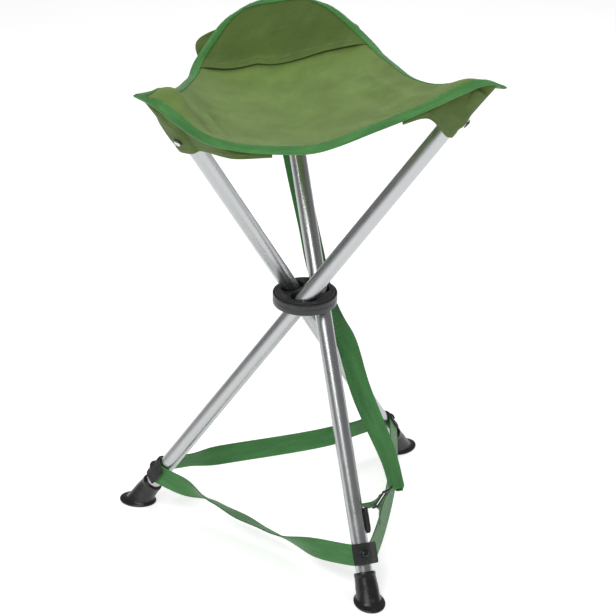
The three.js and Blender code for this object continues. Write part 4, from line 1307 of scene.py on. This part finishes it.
FOLD_WIDTH = np.array([0.5, -0.66, 0.56])
strap_route = [
    (17.5, 178.2, 537.6), (16.8, 173.6, 531), (15.8, 168.6, 524.5), (15, 164, 517),
    (20.5, 121.5, 431), (27.6, 82, 358.7), (33.5, 45, 296), (44.8, 18, 254.8),
    (52.8, 2, 234), (61, -34, 184), (79.5, -92, 117), (81.5, -110, 96), (81.8, -114, 91),
    (80.8, -115.6, 89.2), (79.3, -115.2, 89),
]
strap_widths = [
    (0.38, (1, 0, 0)), (0.56, (0.5, -0.6, 0.5)), (0.72, (0.9, -0.1, 0.25)), (1.0, FOLD_WIDTH),
]
path, across = strap(strap_route, strap_widths, 220)
p, f, uv = sweep(path, across, BAND)
piece("strap_long", p, f, WEB, "front_leg", "carry_strap", "green_webbing", uv, 60)

front = leg["front"]
TAB_TOP_S, TAB_LOW_S, TAB_HALF = -257.0, -287.0, 8.0
TAB_NEAR, TAB_THICK = TUBE_R + 0.8, 3.2
ADJUSTER_HALF, ADJUSTER_REACH = 9.0, 23.5
RETURN_START = np.array([79.0, -115, 89])
tab_mouth = front.at(TAB_NEAR + TAB_THICK / 2, 0, TAB_TOP_S)
return_way = unit(tab_mouth - RETURN_START)
adjuster_at = RETURN_START + ADJUSTER_REACH * return_way
along_return = lambda d: adjuster_at + d * return_way
ADJUSTER_WIDTH = np.array([0.3, -0.35, 0.88])
strap_across = unit(ADJUSTER_WIDTH - (ADJUSTER_WIDTH @ return_way) * return_way)
strap_normal = np.cross(return_way, strap_across)


def short_strap(name, node, points, widths):
    path, across = strap(points, widths, 40)
    p, f, uv = sweep(path, across, BAND)
    piece(name, p, f, WEB, "front_leg", node, "green_webbing", uv, 60)


short_strap(
    "strap_back_layer", "strap_return",
    [RETURN_START, along_return(-ADJUSTER_HALF - 6), along_return(-ADJUSTER_HALF - 1)],
    [(0.0, FOLD_WIDTH), (1.0, strap_across)],
)
short_strap(
    "strap_anchor_layer", "strap_anchor",
    [
        along_return(ADJUSTER_HALF + 1),
        along_return(ADJUSTER_HALF + 5),
        adjuster_at + 0.75 * (tab_mouth - adjuster_at) + np.array([1, 0, 3]),
        tab_mouth + np.array([2.5, 1, 5]),
    ],
    [(0.0, strap_across), (1.0, -front.y)],
)
short_strap(
    "strap_tail_end", "strap_tail",
    [
        along_return(3) - 3.5 * strap_normal,
        along_return(10) - 6.5 * strap_normal - 1 * UP,
        along_return(14) - 9 * strap_normal - 7 * UP,
        along_return(15) - 10 * strap_normal - 17 * UP,
    ],
    [(0.0, strap_across), (0.7, (-0.3, -0.95, 0.1))],
)


def adjuster():
    """A curved plate with three bars: two long sides joined by three rounded cross bars."""
    parts = []
    wide = WEB_WIDTH / 2 + 2.6
    bow = lambda x: -1.4 * (1 - (x / ADJUSTER_HALF) ** 2)
    spot = lambda x, y: along_return(x) + bow(x) * strap_normal + y * strap_across
    ring = lambda a, b, r=12: [
        (a * math.cos(t), b * math.sin(t)) for t in np.linspace(0, 2 * math.pi, r, endpoint=False)
    ]
    for x in (-ADJUSTER_HALF + 1.4, 0.0, ADJUSTER_HALF - 1.4):
        line = [spot(x, y) for y in np.linspace(-wide, wide, 12)]
        parts.append(sweep(line, return_way, ring(1.5, 1.25)))
    for y in (-wide, wide):
        xs = np.linspace(-ADJUSTER_HALF + 0.6, ADJUSTER_HALF - 0.6, 12)
        line = [spot(x, y) for x in xs]
        parts.append(sweep(line, strap_across, ring(1.8, 1.4)))
    points, faces, uv = join(parts)
    piece(
        "adjuster", points, faces, BLACK_PLASTIC, "front_leg", "strap_adjuster", "washer_black", uv,
        50,
    )


def tab():
    """The black tab on the side of the leg: layers of cloth with a rounded low end."""
    low = TAB_LOW_S + TAB_HALF
    round_end = [
        (TAB_HALF * math.cos(t), low + TAB_HALF * math.sin(t))
        for t in np.linspace(math.pi, 2 * math.pi, 25)
    ]
    outline = np.array([(-TAB_HALF, TAB_TOP_S), *round_end, (TAB_HALF, TAB_TOP_S)])
    centre = outline.mean(0)
    levels = [
        (0.94, 0.0), (1.0, 0.4), (1.0, 1.4), (0.97, 1.6), (1.0, 1.8), (1.0, 2.8), (0.93, 3.2),
        (0.5, 3.2),
    ]
    rings = []
    for scale, height in levels:
        flat = centre + (outline - centre) * scale
        rings.append(front.at(TAB_NEAR + height, flat[:, 0], flat[:, 1]))
    n, m = len(rings), len(outline)
    near, far = (front.at(height, *centre) for height in (TAB_NEAR, TAB_NEAR + TAB_THICK))
    points = np.vstack([*rings, [near], [far]])
    faces = quads(n, m, wrap_v=True, flip=False)
    faces += [(n * m, (j + 1) % m, j)[::-1] for j in range(m)]
    faces += [(n * m + 1, (n - 1) * m + j, (n - 1) * m + (j + 1) % m)[::-1] for j in range(m)]
    spots = points - front.origin
    uv = np.stack([spots @ front.y, spots @ front.z], -1)
    piece(
        "tab", points, faces, BLACK_CLOTH, "front_leg", "strap_tab", "black_fabric", uv, 40
    )
    inset = centre + (outline - centre) * 0.84
    line = front.at(TAB_NEAR + TAB_THICK + 0.05, inset[:, 0], inset[:, 1])
    p, f, thread_uv = stitches(line, front.x, 2.0, 2.9, 0.24, 0.12)
    piece("tab_stitches", p, f, BLACK_THREAD, "front_leg", uv=thread_uv)


adjuster()
tab()


# ------------------------------------------------------------------ stage and light
def floor():
    k = Look("floor", Roughness=0.9, Emission_Color=(1.0, 1.0, 1.0, 1.0), Emission_Strength=0.45)
    at = k.place()
    tone = k.noise(at, 6.0, 3.0)
    k.set(Base_Color=k.ramp(tone, [(0.2, (0.86, 0.86, 0.86)), (0.8, (0.9, 0.9, 0.9))]))
    size = 6000.0
    points = [(-size, -size, -0.2), (size, -size, -0.2), (size, size, -0.2), (-size, size, -0.2)]
    piece("floor", points, [(0, 1, 2, 3)], k.material)


def area_light(name, azimuth, elevation, distance, size, power, mirrored=True):
    """A soft box that faces the middle of the stool. Azimuth 0 is in front, 90 on the right."""
    a, e = math.radians(azimuth), math.radians(elevation)
    way = np.array([math.sin(a) * math.cos(e), -math.cos(a) * math.cos(e), math.sin(e)])
    data = bpy.data.lights.new(name, "AREA")
    data.shape = "RECTANGLE"
    data.size, data.size_y = size
    data.energy = power
    lamp = bpy.data.objects.new(name, data)
    bpy.context.scene.collection.objects.link(lamp)
    lamp.visible_glossy = mirrored
    lamp.location = Vector(row(way * distance * 1000 + 330 * UP))
    lamp.rotation_euler = Vector(way).to_track_quat("Z", "Y").to_euler()


floor()
area_light("key", -48, 48, 2.4, (1.6, 1.6), 34)
area_light("fill", 60, 30, 2.6, (1.2, 1.8), 13, mirrored=False)
area_light("top", 150, 68, 2.4, (1.8, 1.8), 26, mirrored=False)
world = bpy.data.worlds.new("world")
bpy.context.scene.world = world
world.use_nodes = True
world.node_tree.nodes["Background"].inputs[0].default_value = (1, 1, 1, 1)
world.node_tree.nodes["Background"].inputs[1].default_value = 0.25
bpy.context.scene.view_settings.view_transform = "Standard"
